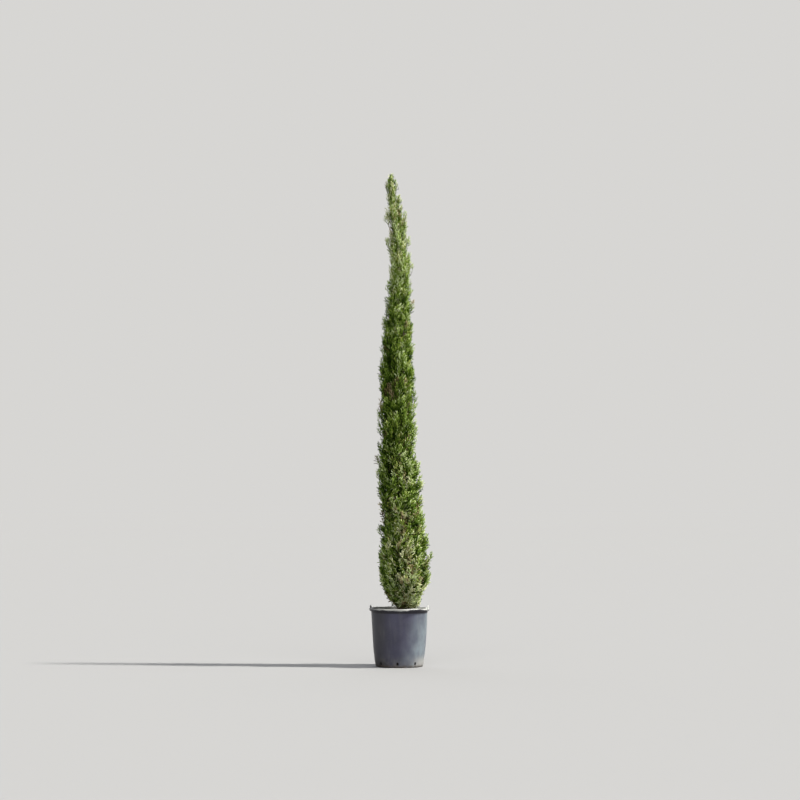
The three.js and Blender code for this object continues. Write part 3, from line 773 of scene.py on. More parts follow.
def shade_outer(s, g):
    """Palette place of each spray, with painted light and shade worked into it, and whether it is dry or young."""
    z = s["z"]
    k = len(z)
    # tone by height, partly painted light: the top of the crown is painted paler where the sun falls
    level = 4.35 + np.interp(z, [0.36, 0.52, 0.79, 1.13, 1.5, 1.86, 2.23, 2.57, 2.87], [0.8, 0.65, -0.7, -0.5, -1.4, -1.45, 0.0, 3.1, 1.85])
    # painted light and shade: towards +X, where the sun falls, the foot is painted paler, and the middle is painted
    # darker on the other side, which is in shade
    across = np.cos(s["th"])
    level = level + np.interp(z, [0.36, 0.52, 0.70, 0.95, 1.1, 1.5, 1.7, 1.9, 2.1], [2.4, 2.3, 0.2, 0.1, 0.5, 1.0, 0.9, 0.5, 0.2]) * np.clip(across + 0.3, 0, 1) * np.clip(0.35 - 1.1 * np.sin(s["th"]), 0, 1)
    level = level + np.interp(z, [0.6, 0.7, 0.9, 1.0], [0.0, 0.6, 0.6, 0.0]) * np.clip(-across, 0, 1) - np.interp(z, [1.0, 1.4, 2.2, 2.5], [0.0, 0.5, 0.6, 0.0]) * np.clip(-across + 0.2, 0, 1)
    # painted light: the back, which is in the shade, is painted paler, so that it is no darker
    level = level + np.interp(z, [0.8, 1.2, 2.2, 2.7], [0.0, 1.0, 1.0, 0.3]) * np.clip(1.3 * np.sin(s["th"]) - 0.2, 0, 0.9)
    # painted shade: what faces the sun is painted darker, so that it is no paler for it
    sunny = np.clip((across - 0.35) / 0.5, 0, 1)
    level = level - sunny * np.interp(z, [0.4, 0.7, 1.5, 2.2, 2.6], [1.5, 1.3, 1.1, 1.2, 1.5])
    # painted light and shade: the front is painted paler towards +X in the middle of the crown, where the sun falls,
    # and darker on the other side of the foot, which is in shade
    front = np.clip(0.8 - np.sin(s["th"]), 0, 1)
    level = level + front * np.interp(z, [1.22, 1.42, 2.1, 2.3], [0.0, 1.6, 1.7, 0.0]) * np.clip((across - 0.18) / 0.4, 0, 1)
    shady = front * np.clip((-across - 0.35) / 0.4, 0, 1)
    level = level - shady * np.interp(z, [0.36, 0.5, 0.62, 0.85, 1.25, 1.5], [4.2, 4.0, 3.2, 1.8, 1.0, 0.0])
    level = level + front * np.interp(z, [0.36, 0.45, 0.55, 0.62, 0.8, 0.88, 1.0, 1.08], [1.2, 1.5, 0.8, 0.6, 0.8, 1.5, 1.5, 0.0]) * np.clip(1.2 - 2.4 * np.abs(across - 0.06), 0, 1)
    level = level + front * np.interp(z, [0.56, 0.62, 0.80, 0.86], [0.0, 1.7, 1.7, 0.0]) * np.clip(1.2 - 4.0 * np.abs(across + 0.38), 0, 1)
    spread = np.interp(z, [0.36, 0.55, 0.7, 0.95, 1.3, 1.8, 2.2, 2.5, 2.9], [2.9, 2.6, 2.0, 1.5, 1.5, 1.4, 1.1, 0.8, 1.2])
    patchy = np.interp(z, [0.5, 1.3, 1.6, 2.3], [1.0, 1.0, 0.65, 0.35])
    b = level + spread * g.normal(size=k) + patchy * (0.8 * s["lump"] + 0.8 * tone(s["uv"])) + 45 * np.clip(s["off"] + 0.0150, -0.02, 0.014)
    b += np.where(g.random(k) < np.interp(z, [0.50, 0.62], [0.32, 0.14]), np.interp(z, [0.48, 0.62], [5.0, 2.6]) * (1 - 0.6 * sunny - 0.5 * shady), 0.0)
    dryness = 0.05 + 0.16 * tan_field(s["uv"]) + np.interp(z, [0.35, 0.45, 0.75, 1.3, 1.6, 1.75, 2.2, 3.0], [0.02, 0.03, 0.02, -0.08, 0.0, -0.02, -0.12, -0.04])
    turn = np.degrees(s["th"])
    for zc, tc, dz, dt, power in DRY_PLACES:
        gap = (turn - tc + 180) % 360 - 180
        dryness = dryness + power * np.exp(-(((z - zc) / dz) ** 2) - (gap / dt) ** 2)
    dry = g.random(k) < np.clip(dryness, 0.012, 0.6)
    # painted highlight as well as young growth: these creamy sprays are more frequent at the top and the foot, where
    # the sun falls
    young_highlit = g.random(k) < np.interp(z, [0.36, 0.52, 0.65, 0.95, 1.3, 1.8, 2.3, 2.7], [0.65, 0.60, 0.4, 0.15, 0.2, 0.12, 0.12, 0.6]) * (1 - 0.5 * sunny - 0.6 * shady * np.interp(z, [0.9, 1.3], [1.0, 0.0]))
    return np.clip(np.round(b), 1, N_GREEN - 2).astype(int), dry, young_highlit


outer_points = skin_points(0.0245, 31)
inner_points = skin_points(0.036, 32)

# The crown's foot hangs over the compost, lower on its right. Height, half width and middle of its outline.
FOOT = np.array([[0.341, 0.090, 0.042], [0.367, 0.098, 0.041], [0.404, 0.113, 0.032], [0.441, 0.131, 0.027]])


def foot_points(spacing, seed):
    g = np.random.default_rng(seed)
    feet = np.array([SPINE[n][0, :2] for n in PLUMES[:5]])
    out = []
    for z in np.arange(0.346, 0.432, spacing * 0.7):
        half, mid = np.interp(z, FOOT[:, 0], FOOT[:, 1]), np.interp(z, FOOT[:, 0], FOOT[:, 2])
        for f in (1.0, 0.68):
            n = int(2 * math.pi * half * f / spacing)
            for i in range(n):
                th = (i + g.uniform(-0.4, 0.4)) / n * 2 * math.pi
                zz = z + g.uniform(-0.5, 0.5) * spacing * 0.7
                # the left and the front left stay higher, so that the stems show there
                lowest = 0.356 + 0.030 * max(0.0, -math.cos(th - math.radians(30))) ** 0.6
                if zz < lowest + (0.012 if f < 1 else 0):
                    continue
                gap = (math.degrees(th) + 124 + 180) % 360 - 180
                if abs(gap) < 12 and zz < 0.386:
                    continue
                p = np.array([mid + half * f * math.cos(th), 0.0066 + half * f * math.sin(th)])
                own = int(np.argmin(((feet - p) ** 2).sum(1)))
                out.append([p[0], p[1], zz, th, own, half * f])
    return np.array(out)


foot = foot_points(0.026, 33)
keep = holes(skin_uv(outer_points)) < np.interp(outer_points[:, 2], [0.35, 1.2, 2.2, 3.0], [0.95, 0.95, 1.15, 1.6])
outer_points = np.vstack([outer_points[keep], foot])

# extra sprays that close the tip of the leader and of each mass
extra = []
for k, n in enumerate(PLUMES):
    V = SOLIDS[n][0]
    top = V[V[:, 2].argmax()]
    for i in range(3 if n != "leader_plume" else 4):
        th = rng.uniform(0, 2 * math.pi)
        dz = rng.uniform(0.0, 0.03)
        rr = rng.uniform(0.2, 1) * (0.004 + 0.30 * dz)
        extra.append([top[0] + rr * math.cos(th), top[1] + rr * math.sin(th), top[2] - dz, th, k, 0.01])
# the leader ends in a blunt, ragged bunch of shoots, with its highest in the middle
last = len(PLUMES) - 1
for i in range(20):
    zz = 2.996 - 0.080 * (i / 19) ** 0.8 + (rng.uniform(-0.008, 0.004) if i else 0)
    th = 2.399 * i + rng.uniform(-0.5, 0.5)
    half = np.interp(zz, [2.90, 2.959, 2.985, 3.0], [0.034, 0.029, 0.018, 0.004])
    rr = half * rng.uniform(0.55, 1.1)
    mx = np.interp(zz, [2.90, 2.959, 3.0], [-0.050, -0.051, -0.048])
    extra.append([mx + rr * math.cos(th), 0.002 + rr * math.sin(th), zz, th, last, half])
# single shoots that stand out from the crown: height, reach from the middle line, side
SHOOTS = [
    (2.850, 0.009, 1), (2.733, 0.042, 1), (2.600, 0.066, 1), (2.480, 0.064, 1), (2.080, 0.082, 1), (1.935, 0.086, 1),
    (1.593, 0.109, 1), (1.446, 0.114, 1), (1.214, 0.120, 1), (1.111, 0.142, 1), (1.019, 0.138, 1), (0.900, 0.152, 1),
    (0.750, 0.175, 1), (0.645, 0.186, 1), (0.523, 0.187, 1), (0.400, 0.130, 1),
    (2.757, -0.089, -1), (2.605, -0.080, -1), (2.215, -0.086, -1), (2.090, -0.104, -1), (1.950, -0.110, -1), (1.800, -0.117, -1), (1.210, -0.121, -1), (1.100, -0.128, -1), (0.660, -0.128, -1),
]
shoots = []
for zc, x, side in SHOOTS:
    m = crown_middle(zc)
    for i in range(3):
        zz = zc + rng.normal(0, 0.010)
        th = (0.0 if side > 0 else math.pi) + rng.uniform(-0.35, 0.35)
        loc, nor, face, dist = CROWN.ray_cast(Vector((m[0], m[1], zz)) + Vector((math.cos(th), math.sin(th), 0)) * 0.5, -Vector((math.cos(th), math.sin(th), 0)))
        if loc is None:
            continue
        xx = x - side * (0, 0.006, 0.012)[i]
        shoots.append([xx, loc.y + rng.normal(0, 0.004), zz, th, owner[face], max(0.5 - dist, 0)])
shoots = np.array(shoots)
# and some more round the sides and the back that the front doesn't show
for zc in np.arange(0.42, 2.8, 0.085):
    th = rng.uniform(-0.2, math.pi + 0.2)
    m, h = crown_middle(zc), Vector((math.cos(th), math.sin(th), 0))
    loc, nor, face, dist = CROWN.ray_cast(Vector((m[0], m[1], zc)) + h * 0.5, -h)
    if loc is not None:
        for i in range(2):
            p = loc + h * (0.002 - 0.007 * i)
            shoots = np.vstack([shoots, [p.x, p.y, zc + rng.normal(0, 0.010), th, owner[face], 0.5 - dist]])
extra = np.array(extra)

outer = spray_set(outer_points, "outer", rng)
tips = spray_set(extra, "outer", rng)
up = np.array([0, 0, 1.0])
tips["d"] = unit(tips["d"] * 0.30 + up)
tips["tip"] = extra[:, :3]
tips["base"] = tips["tip"] - tips["d"] * tips["length"][:, None]
single = spray_set(shoots, "outer", rng)
single["d"] = unit(single["d"] * 0.8 + up * 0.2)
single["tip"] = shoots[:, :3]
single["off"] = np.full(len(shoots), 0.012)
single["length"] = single["length"] * 0.9
single["base"] = single["tip"] - single["d"] * single["length"][:, None]
for key in outer:
    outer[key] = np.concatenate([outer[key], tips[key], single[key]])
inner = spray_set(inner_points, "inner", rng)

# keep the lowest sprays above the pot's lip
for s in (outer, inner):
    low = s["tip"][:, 2] < 0.376
    out = np.hypot(s["tip"][:, 0], s["tip"][:, 1])
    pull = np.where(low & (out > 0.150), 0.150 / np.maximum(out, 1e-6), 1.0)[:, None]
    for key in ("tip", "base"):
        s[key][:, :2] *= pull

# ------------------------------------------------------------------ twigs
twig_green = plain("twig_green", (0.085, 0.088, 0.030), 0.7, 0.25)
twig_brown = plain("twig_brown", (0.098, 0.074, 0.038), 0.8, 0.2)


def twig(a, d0, b, d1, r0, r1, steps=4):
    t = np.linspace(0, 1, steps)[:, None]
    l = np.linalg.norm(b - a)
    c0, c1 = a + d0 * l * 0.35, b - d1 * l * 0.35
    p = (1 - t) ** 3 * a + 3 * (1 - t) ** 2 * t * c0 + 3 * (1 - t) * t**2 * c1 + t**3 * b
    return tube(p, np.linspace(r0, r1, steps), 3, close_end=False)


TIERS = [(0, 5), (5, 10), (10, 14), (14, 18), (18, 22), (22, 26), (26, 31)]


def tier_of(own):
    return np.searchsorted([5, 10, 14, 18, 22, 26], own, side="right")


twig_parts = [[] for _ in TIERS]
for s in (outer, inner):
    for i in range(len(s["z"])):
        n = PLUMES[s["own"][i]]
        b = s["base"][i]
        z = b[2]
        near = bough_at(n, z)
        hd = math.hypot(near[0] - b[0], near[1] - b[1])
        z_from = z - 0.9 * hd - 0.012
        a = bough_at(n, z_from)
        if np.linalg.norm(b - a) < 0.012:
            continue
        d0 = unit(np.array([b[0] - a[0], b[1] - a[1], 0.6 * hd + 0.004]))
        thick = 0.0011 + 0.012 * min(np.linalg.norm(b - a), 0.1)
        twig_parts[tier_of(s["own"][i])].append(twig(a, d0, b, s["d"][i], thick, 0.0011, 4 if s is outer else 3))

# ------------------------------------------------------------------ the pieces of foliage
leaf_parts = [dict(V=[], T=[], M=[], n=0) for _ in TIERS]


def add_sprays(s, variants, tones, dry, young_highlit, gain, g, width, lift):
    pick = g.integers(0, len(variants), len(s["z"]))
    if variants is VARIANTS:
        pick = np.where(s["z"] < 1.2 + g.normal(0, 0.12, len(pick)), SLIM + pick % STOUT, pick % SLIM)
    tier = tier_of(s["own"])
    roll = g.uniform(0, 2 * math.pi, len(s["z"]))
    w = width * g.uniform(0.85, 1.2, len(s["z"]))
    for v, variant in enumerate(variants):
        for t in range(len(TIERS)):
            m = (pick == v) & (tier == t)
            if not m.any():
                continue
            P, T = place(variant, s["base"][m], s["d"][m], roll[m], s["length"][m], w[m], lift[m])
            part = leaf_parts[t]
            step = np.round(variant[2][None] * gain[m][:, None]).astype(int)
            green = np.clip(tones[m][:, None] + step, 0, N_GREEN - 1)
            green = np.where(young_highlit[m][:, None] & (green >= 5), N_GREEN + N_DRY + green - 5, green)
            brown = N_GREEN + np.clip((tones[m][:, None] - 1 + step) // 2, 0, N_DRY - 1)
            part["M"].append(np.where(dry[m][:, None], brown, green).ravel())
            part["V"].append(P)
            part["T"].append(T + part["n"])
            part["n"] += len(P)


tones, dry, young_highlit = shade_outer(outer, rng)
# how strongly the cords of one spray differ
gain = np.interp(outer["z"], [0.4, 0.6, 0.9, 1.2, 1.5, 1.9, 2.3, 2.6, 2.9], [1.75, 1.6, 1.4, 1.35, 1.1, 0.9, 1.0, 1.0, 1.6])
lift = np.interp(outer["z"], [0.35, 0.9, 2.0], [0.20, 0.16, 0.05]) * rng.uniform(0.2, 1.4, len(outer["z"]))
add_sprays(outer, VARIANTS, tones, dry, young_highlit, gain, rng, 0.92, lift)
k = len(inner["z"])
inner_tone = np.interp(inner["z"], [0.36, 0.6, 1.0, 1.9, 2.4, 2.7], [1.8, 1.2, 0.6, 0.6, 2.2, 3.6])
inner_tone = np.clip(np.round(inner_tone + 0.8 * rng.normal(size=k)), 0, 5).astype(int)
inner_dry = (rng.random(k) < 0.10) & (inner["z"] < 2.6)
add_sprays(inner, FILLERS, inner_tone, inner_dry, np.zeros(k, bool), np.ones(k), rng, 1.0, np.full(k, 0.08))

pieces_made = []
for t, part in enumerate(leaf_parts):
    V, T, M = np.vstack(part["V"]), np.vstack(part["T"]), np.concatenate(part["M"])
    o = mesh_object(f"foliage_{t + 1}", V, T, PALETTE, M)
    pieces_made.append((o, len(T)))
    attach(o, "root")
    a, b = TIERS[t]
    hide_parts(*PLUMES[a:b])
    V, T = joined(twig_parts[t])
    o = mesh_object(f"twigs_{t + 1}", V, T, [twig_green if t > 1 else twig_brown])
    pieces_made.append((o, len(T)))
    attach(o, "root")

# ------------------------------------------------------------------ trunk and boughs, with the bark's relief
bark = bark_material()


def relief(a, z, R, seed):
    """Upright fibrous strips, in metres."""
    f1 = waves(seed, (0.0065, 0.075), 10)
    f2 = waves(seed + 1, (0.0028, 0.030), 10)
    # read round a circle, so that the strips meet
    p = np.stack([np.cos(a) * R * 1.5 + np.sin(2 * a) * R * 0.5, z + 0.3 * np.sin(a) * R], -1)
    q = np.stack([np.sin(a) * R * 1.5 + np.cos(3 * a) * R * 0.3, z], -1)
    v = f1(p) + 0.8 * f1(q + 3) + 0.45 * f2(p) + 0.45 * f2(q)
    return np.where(v > 0, 0.55 * v, v)


def trunk_mesh():
    z0, z1 = float(SOLIDS["trunk"][0][:, 2].min()), float(SOLIDS["trunk"][0][:, 2].max())
    zs = np.concatenate([np.arange(z0, 0.46, 0.0022), np.arange(0.46, 0.8, 0.008), np.arange(0.8, z1 - 0.01, 0.03), [z1 - 0.008]])
    sides = 84
    a = np.arange(sides) / sides * 2 * math.pi
    A, Z = np.meshgrid(a, zs)
    c = trunk_at(Z)
    R = trunk_radius(Z)
    near = np.exp(-(Z - z0) / 0.022)
    lobe = 1 + 0.15 * near * np.cos(5 * A + 0.7) + 0.05 * near * np.cos(3 * A + 2)
    amp = np.clip(R * 0.075, 0.0001, 0.0015)
    rad = R * lobe + relief(A, Z, R, 70) * amp
    V = np.stack([c[..., 0] + rad * np.cos(A), c[..., 1] + rad * np.sin(A), Z], -1).reshape(-1, 3)
    n = len(zs)
    i = np.arange(sides)
    j = (i + 1) % sides
    Q = [np.stack([k * sides + i, k * sides + j, (k + 1) * sides + j, (k + 1) * sides + i], 1) for k in range(n - 1)]
    top = len(V)
    V = np.vstack([V, [*trunk_at(z1)[:2], z1], [*trunk_at(z0)[:2], z0]])
    T = np.vstack([np.stack([(n - 1) * sides + i, (n - 1) * sides + j, np.full(sides, top)], 1), np.stack([j, i, np.full(sides, top + 1)], 1)])
    return V, T, np.vstack(Q)


V, T, Q = trunk_mesh()
trunk = mesh_object("trunk_bark", V, T, [bark], quads=Q)
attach(trunk, "root")
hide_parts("trunk")

parts = []
for k, n in enumerate(PLUMES):
    if n == "leader_plume":
        continue
    b = BOUGH[n]
    seg = np.linalg.norm(np.diff(b, axis=0), axis=1)
    s = np.concatenate([[0], np.cumsum(seg)])
    low = k < 5
    fine = np.arange(0, s[-1], 0.006 if low else 0.012)
    if low:
        fine = np.concatenate([np.arange(0, 0.12, 0.003), np.arange(0.12, s[-1], 0.014)])
    p = np.stack([np.interp(fine, s, b[:, i]) for i in range(3)], -1)
    r0 = 0.0072 if low else np.interp(b[0, 2], [0.4, 2.4], [0.0062, 0.0030])
    r = r0 + (0.0012 - r0) * (fine / s[-1]) ** 0.8
    r += np.exp(-fine / 0.008) * 0.35 * r0  # collar where it leaves the trunk
    sides = 16 if low else 7
    a = np.arange(sides) / sides * 2 * math.pi
    A, S = np.meshgrid(a, fine)
    rr = r[:, None] * np.ones_like(A)
    rr = rr + relief(A, S, rr, 80 + k) * np.clip(rr * 0.09, 0, 0.0007)
    v, t = tube(p, rr, sides)
    i = np.arange(sides)
    cap = np.stack([(i + 1) % sides, i, np.full(sides, len(v))], 1)  # closed where it starts, inside the trunk
    parts.append((np.vstack([v, p[0]]), np.vstack([t, cap])))
V, T = joined(parts)
boughs = mesh_object("boughs_bark", V, T, [bark])
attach(boughs, "root")
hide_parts(*sorted(n for n in NODES if n.startswith("foot_stem_")))

# ------------------------------------------------------------------ compost
SOIL = 0.322
pot_lo, pot_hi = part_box("pot")
soil_lo, soil_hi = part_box("root_ball")
wall_r = soil_hi.x - 0.0006


def soil_height(x, y):
    f1, f2, f3 = waves(90, (0.035, 0.035), 8), waves(91, (0.012, 0.012), 9), waves(92, (0.0045, 0.0045), 10)
    p = np.stack([x, y], -1)
    c = trunk_at(SOIL)
    d = np.hypot(x - c[0], y - c[1])
    mound = 0.004 * np.exp(-((d / 0.06) ** 2))
    edge = -0.004 * (np.hypot(x, y) / 0.163) ** 4
    return 0.3155 + mound + edge + 0.0022 * f1(p) + 0.0012 * f2(p) + 0.0007 * f3(p)


sides, rings = 220, 70
rr = np.linspace(0, 1, rings + 1)[1:] ** 0.8 * wall_r
a = np.arange(sides) / sides * 2 * math.pi
R, A = np.meshgrid(rr, a, indexing="ij")
X, Y = R * np.cos(A), R * np.sin(A)
Z = np.minimum(soil_height(X, Y), 0.3255)
V = [np.stack([X, Y, Z], -1).reshape(-1, 3)]
n = rings
levels = [(0.302, 1.0), (0.18, 0.966), (0.09, 0.925), (0.045, 0.887), (0.02, 0.855), (soil_lo.z + 0.0005, 0.80)]
for z, f in levels:
    V.append(np.stack([wall_r * f * 0.998 * np.cos(a), wall_r * f * 0.998 * np.sin(a), np.full(sides, z)], -1))
V = np.vstack(V)
i = np.arange(sides)
j = (i + 1) % sides
Q = [np.stack([k * sides + i, (k + 1) * sides + i, (k + 1) * sides + j, k * sides + j], 1) for k in range(n - 1 + len(levels))]
c0, c1 = len(V), len(V) + 1
V = np.vstack([V, [0, 0, float(soil_height(np.zeros(1), np.zeros(1))[0])], [0, 0, soil_lo.z + 0.0005]])
last = (n - 1 + len(levels)) * sides
T = np.vstack([np.stack([np.full(sides, c0), i, j], 1), np.stack([np.full(sides, c1), last + j, last + i], 1)])
soil = mesh_object("compost_surface", V, T, [soil_material()], quads=np.vstack(Q))
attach(soil, "root")
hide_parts("root_ball")

# crumbs and bark chips lying on it
chip_mats = [plain("crumb_dark", (0.050, 0.036, 0.026), 0.95, 0.15), plain("crumb_brown", (0.125, 0.088, 0.058), 0.92, 0.15), plain("crumb_pale", (0.27, 0.225, 0.17), 0.9, 0.15)]
g = np.random.default_rng(77)
ico = bmesh.new()
bmesh.ops.create_icosphere(ico, subdivisions=1, radius=1.0)
ico.verts.ensure_lookup_table()
IV = np.array([v.co[:] for v in ico.verts])
IT = np.array([[v.index for v in f.verts] for f in ico.faces])
ico.free()
Vs, Ts, Ms, off = [], [], [], 0
for k in range(1500):
    r, th = 0.160 * math.sqrt(g.random()), g.uniform(0, 2 * math.pi)
    x, y = r * math.cos(th), r * math.sin(th)
    c = trunk_at(SOIL)
    if math.hypot(x - c[0], y - c[1]) < 0.033:
        continue
    size = g.uniform(0.0012, 0.0042) * (1.5 if g.random() < 0.08 else 1)
    s = size * np.array([g.uniform(0.8, 1.9), g.uniform(0.6, 1.1), g.uniform(0.3, 0.7)])
    t = g.uniform(0, 6.28)
    tilt = g.normal(0, 0.3)
    v = IV * s * g.uniform(0.75, 1.25, (len(IV), 1))
    v = np.stack([v[:, 0] * math.cos(tilt) + v[:, 2] * math.sin(tilt), v[:, 1], v[:, 2] * math.cos(tilt) - v[:, 0] * math.sin(tilt)], -1)
    v = np.stack([v[:, 0] * math.cos(t) - v[:, 1] * math.sin(t), v[:, 0] * math.sin(t) + v[:, 1] * math.cos(t), v[:, 2]], -1)
    z = float(soil_height(np.array([x]), np.array([y]))[0]) + 0.3 * s[2]
    Vs.append(v + [x, y, min(z, 0.3270)])
    Ts.append(IT + off)
    Ms.append(np.full(len(IT), g.choice([0, 1, 2], p=[0.35, 0.45, 0.2])))
    off += len(IV)
crumbs = mesh_object("compost_crumbs", np.vstack(Vs), np.vstack(Ts), chip_mats, np.concatenate(Ms), smooth=False)
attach(crumbs, "root")


# ------------------------------------------------------------------ pot
def lip_warp(turn):
    return 0.0024 * (0.5 * np.sin(2 * turn + 0.4) + 0.3 * np.sin(5 * turn - 0.9) + 0.2 * np.sin(9 * turn + 2.1) - 0.3)


def rounded(points, radii, steps=5):
    """A profile with its corners rounded."""
    out = []
    P = [np.array(p, float) for p in points]
    for k, p in enumerate(P):
        r = radii[k]
        if r == 0 or k in (0, len(P) - 1):
            out.append(p)
            continue
        a, b = unit(P[k - 1] - p), unit(P[k + 1] - p)
        ang = math.acos(np.clip(a @ b, -1, 1))
        t = min(r / math.tan(ang / 2), 0.49 * np.linalg.norm(P[k - 1] - p), 0.49 * np.linalg.norm(P[k + 1] - p))
        s, e = p + a * t, p + b * t
        for q in np.linspace(0, 1, steps):
            out.append((1 - q) ** 2 * s + 2 * q * (1 - q) * p + q**2 * e)
    return np.array(out)


body = [(0, 0.136), (0.003, 0.141), (0.020, 0.146), (0.045, 0.150), (0.092, 0.156), (0.180, 0.1628), (0.312, 0.1694)]
zb = np.array([b[0] for b in body])
rb = np.array([b[1] for b in body])


def body_r(z):
    """Smooth reading of the pot's outer wall."""
    m = np.gradient(rb, zb)
    k = np.clip(np.searchsorted(zb, z, side="right") - 1, 0, len(zb) - 2)
    h = zb[k + 1] - zb[k]
    t = (z - zb[k]) / h
    return (2 * t**3 - 3 * t**2 + 1) * rb[k] + (t**3 - 2 * t**2 + t) * h * m[k] + (-2 * t**3 + 3 * t**2) * rb[k + 1] + (t**3 - t**2) * h * m[k + 1]


outer_wall = [(body_r(z), z) for z in np.linspace(0.006, 0.312, 30)]
R0 = 0.1694
prof = [(0.0, 0.0), (0.06, 0.0), (0.120, 0.0), (0.1345, 0.0), (0.1385, 0.0022)]
rad = [0, 0, 0, 0.001, 0.001]
prof += outer_wall
rad += [0] * len(outer_wall)
lip_pts = [
    (R0 + 0.0006, 0.3260, 0.001),
    (R0 + 0.0022, 0.3300, 0.001),
    (R0 + 0.0026, 0.3432, 0.001),
    (0.1792, 0.3432, 0.0012),
    (0.1796, 0.3405, 0.0008),
    (0.1818, 0.3405, 0.0010),
    (0.1820, 0.3525, 0.0030),
    (0.1785, 0.3560, 0.0030),
    (0.1732, 0.3548, 0.0015),
    (0.1688, 0.3556, 0.0018),
    (0.1669, 0.3520, 0.0012),
    (0.1664, 0.3300, 0.001),
]
prof += [(r, z) for r, z, _ in lip_pts]
rad += [q for _, _, q in lip_pts]
inner_wall = [(body_r(z) - 0.003, z) for z in np.linspace(0.312, 0.020, 20)]
prof += inner_wall + [(0.135, 0.004), (0.06, 0.004), (0.0, 0.004)]
rad += [0] * len(inner_wall) + [0.002, 0, 0]
profile = rounded(prof, rad, 5)

sides = 256
turn = np.arange(sides) / sides * 2 * math.pi  # from the front towards +X
dents = waves(95, (0.09, 0.13), 7)
V = []
inner_ring = profile[1:-1]
for r, z in inner_ring:
    w = min(1, max(0, (z - 0.317) / 0.02))
    x, y = np.sin(turn), -np.cos(turn)
    f = np.stack([np.sin(turn) * 0.16, np.full(sides, z) + 0.05 * np.cos(turn)], -1)
    amp = 0.0011 * math.sin(math.pi * min(1, max(0, (z - 0.02) / 0.30))) if r > 0.13 else 0
    radius = r + amp * (dents(f) - 0.55)
    V.append(np.stack([radius * x, radius * y, z + w * lip_warp(turn)], -1))
V = np.vstack(V)
n = len(inner_ring)
i = np.arange(sides)
j = (i + 1) % sides
Q = np.vstack([np.stack([k * sides + i, k * sides + j, (k + 1) * sides + j, (k + 1) * sides + i], 1) for k in range(n - 1)])
c0, c1 = len(V), len(V) + 1
V = np.vstack([V, [0, 0, 0], [0, 0, 0.004]])
T = np.vstack([np.stack([np.full(sides, c0), j, i], 1), np.stack([np.full(sides, c1), (n - 1) * sides + i, (n - 1) * sides + j], 1)])
pot_mat = pot_material()
pot = mesh_object("pot_shell", V, T, [pot_mat], quads=Q)

# drain holes: one cutter with all the slots
cut = bmesh.new()
for k in range(8):
    t = math.radians(-4.4 + 45 * k)
    out, tan = Vector((math.sin(t), -math.cos(t), 0)), Vector((math.cos(t), math.sin(t), 0))
    loop = [(-0.0065, -0.009), (0.0065, -0.009), (0.0065, 0.0025)]
    loop += [(0.0065 * math.cos(q), 0.0025 + 0.0065 * math.sin(q)) for q in np.linspace(0.3, math.pi - 0.3, 9)]
    loop += [(-0.0065, 0.0025)]
    rings = []
    for depth in (0.128, 0.160):
        rings.append([cut.verts.new(out * depth + tan * x + Vector((0, 0, 0.0245 + z))) for x, z in loop])
    m = len(loop)
    for q in range(m):
        cut.faces.new([rings[0][q], rings[0][(q + 1) % m], rings[1][(q + 1) % m], rings[1][q]])
    cut.faces.new(list(reversed(rings[0])))
    cut.faces.new(rings[1])
bmesh.ops.recalc_face_normals(cut, faces=cut.faces)
cm = bpy.data.meshes.new("slots")
cut.to_mesh(cm)
cut.free()
slots = bpy.data.objects.new("slots", cm)
scene.collection.objects.link(slots)
mod = pot.modifiers.new("slots", "BOOLEAN")
mod.operation, mod.object, mod.solver = "DIFFERENCE", slots, "EXACT"
bpy.context.view_layer.update()
done = bpy.data.meshes.new_from_object(pot.evaluated_get(bpy.context.evaluated_depsgraph_get()))
pot.modifiers.clear()
old = pot.data
pot.data = done
bpy.data.meshes.remove(old)
bpy.data.objects.remove(slots)
bpy.data.meshes.remove(cm)


def lug(turn0):
    """A lifting tab that stands up from the lip and follows it round."""
    half, z0 = 0.021, 0.348
    bm = bmesh.new()
    us = np.linspace(-1, 1, 25)
    crest = lambda u: 0.356 + 0.016 * (1 - abs(u) ** 3.2) ** 0.55
    grid = {}
    for side, r in ((0, 0.1796), (1, 0.1756)):
        for a_i, u in enumerate(us):
            top = crest(u)
            for b_i, f in enumerate((0, 0.5, 0.85, 1.0)):
                t = turn0 + u * half / 0.179
                z = z0 + (top - z0) * f + lip_warp(np.array([t]))[0]
                rr = r - (0.0012 if side == 0 else -0.0012) * (1 if f == 1.0 else 0)
                grid[side, a_i, b_i] = bm.verts.new((rr * math.sin(t), -rr * math.cos(t), z))
    N = len(us) - 1
    for a_i in range(N):
        for b_i in range(3):
            bm.faces.new([grid[0, a_i, b_i], grid[0, a_i + 1, b_i], grid[0, a_i + 1, b_i + 1], grid[0, a_i, b_i + 1]])
            bm.faces.new([grid[1, a_i, b_i], grid[1, a_i, b_i + 1], grid[1, a_i + 1, b_i + 1], grid[1, a_i + 1, b_i]])
        bm.faces.new([grid[0, a_i, 3], grid[0, a_i + 1, 3], grid[1, a_i + 1, 3], grid[1, a_i, 3]])
        bm.faces.new([grid[0, a_i, 0], grid[1, a_i, 0], grid[1, a_i + 1, 0], grid[0, a_i + 1, 0]])
    for a_i in (0, N):
        for b_i in range(3):
            bm.faces.new([grid[0, a_i, b_i], grid[0, a_i, b_i + 1], grid[1, a_i, b_i + 1], grid[1, a_i, b_i]])
    bmesh.ops.recalc_face_normals(bm, faces=bm.faces)
    me = bpy.data.meshes.new("lug")
    bm.to_mesh(me)
    bm.free()
    return me


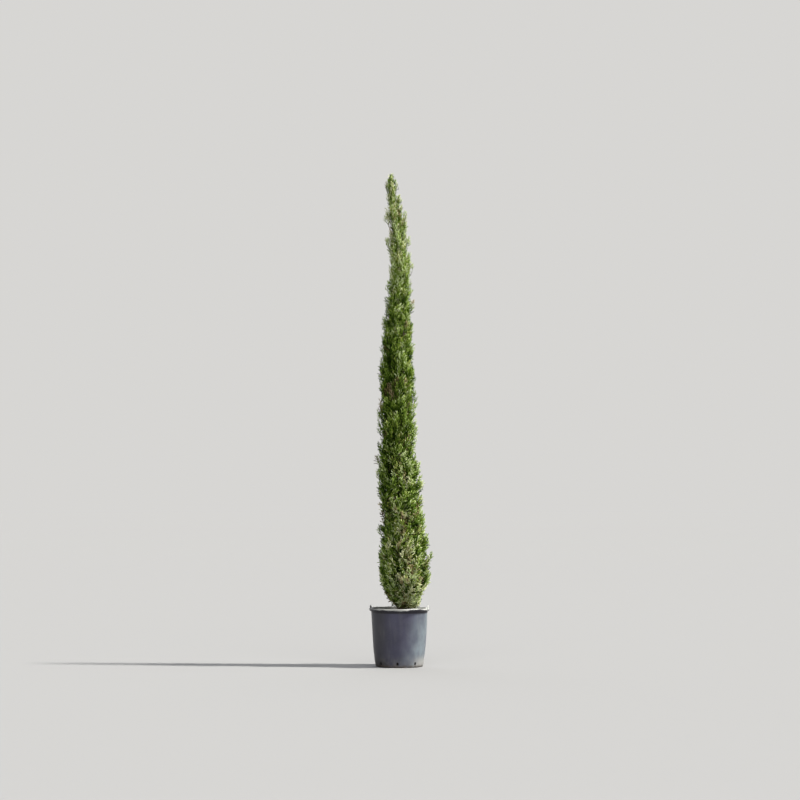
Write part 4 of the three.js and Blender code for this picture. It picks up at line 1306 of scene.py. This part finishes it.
bm = bmesh.new()
bm.from_mesh(pot.data)
for t in (80, 260):
    me = lug(math.radians(t))
    bm.from_mesh(me)
    bpy.data.meshes.remove(me)
bm.to_mesh(pot.data)
bm.free()
for p in pot.data.polygons:
    p.use_smooth = True
pot.data.set_sharp_from_angle(angle=math.radians(38))
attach(pot, "root")
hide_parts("pot")

# ------------------------------------------------------------------ floor
fl = bpy.data.meshes.new("floor")
fl.from_pydata([(-150, -150, 0), (150, -150, 0), (150, 150, 0), (-150, 150, 0)], [], [(0, 1, 2, 3)])
floor = bpy.data.objects.new("floor", fl)
scene.collection.objects.link(floor)
FLOOR = np.array([0.68, 0.672, 0.655]) / level_light
# far out, the floor gives off the light that it would send back, and so does the backdrop that it runs into
floor_mat = Nodes("floor_pale")
fx, fy, _ = floor_mat.split()
far = floor_mat.ramp(floor_mat.math("SQRT", floor_mat.math("ADD", floor_mat.math("POWER", fx, 2.0), floor_mat.math("POWER", fy, 2.0))), 12.0, 60.0)
floor_mat.link(floor_mat.mix(far, (0.0, 0.0, 0.0), tuple(float(v) for v in FLOOR * level_light)), floor_mat.b.inputs["Emission Color"])
floor_mat.b.inputs["Emission Strength"].default_value = 1.0
fl.materials.append(floor_mat.done(floor_mat.mix(far, tuple(float(v) for v in FLOOR), (0.0, 0.0, 0.0)), 1.0, None, 0.0))

# a plain pale backdrop all round, seen by the camera only
bm = bmesh.new()
bmesh.ops.create_uvsphere(bm, u_segments=64, v_segments=32, radius=140)
dm = bpy.data.meshes.new("backdrop")
bm.to_mesh(dm)
bm.free()
backdrop = bpy.data.objects.new("backdrop", dm)
scene.collection.objects.link(backdrop)
back_mat = plain("backdrop_pale", (0, 0, 0), 1.0, 0.0)
back_mat.node_tree.nodes["Principled BSDF"].inputs["Emission Color"].default_value = (*[float(v) for v in FLOOR * level_light], 1)
back_mat.node_tree.nodes["Principled BSDF"].inputs["Emission Strength"].default_value = 1.0
dm.materials.append(back_mat)
backdrop.visible_diffuse = backdrop.visible_glossy = backdrop.visible_transmission = backdrop.visible_shadow = False

total = 0
for o in scene.objects:
    if o.type == "MESH" and "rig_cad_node" not in o and o is not floor:
        k = sum(len(p.vertices) - 2 for p in o.data.polygons)
        total += k
        print("piece", o.name, k)
print("triangles", total, "sprays", len(outer["z"]), "inner", len(inner["z"]))
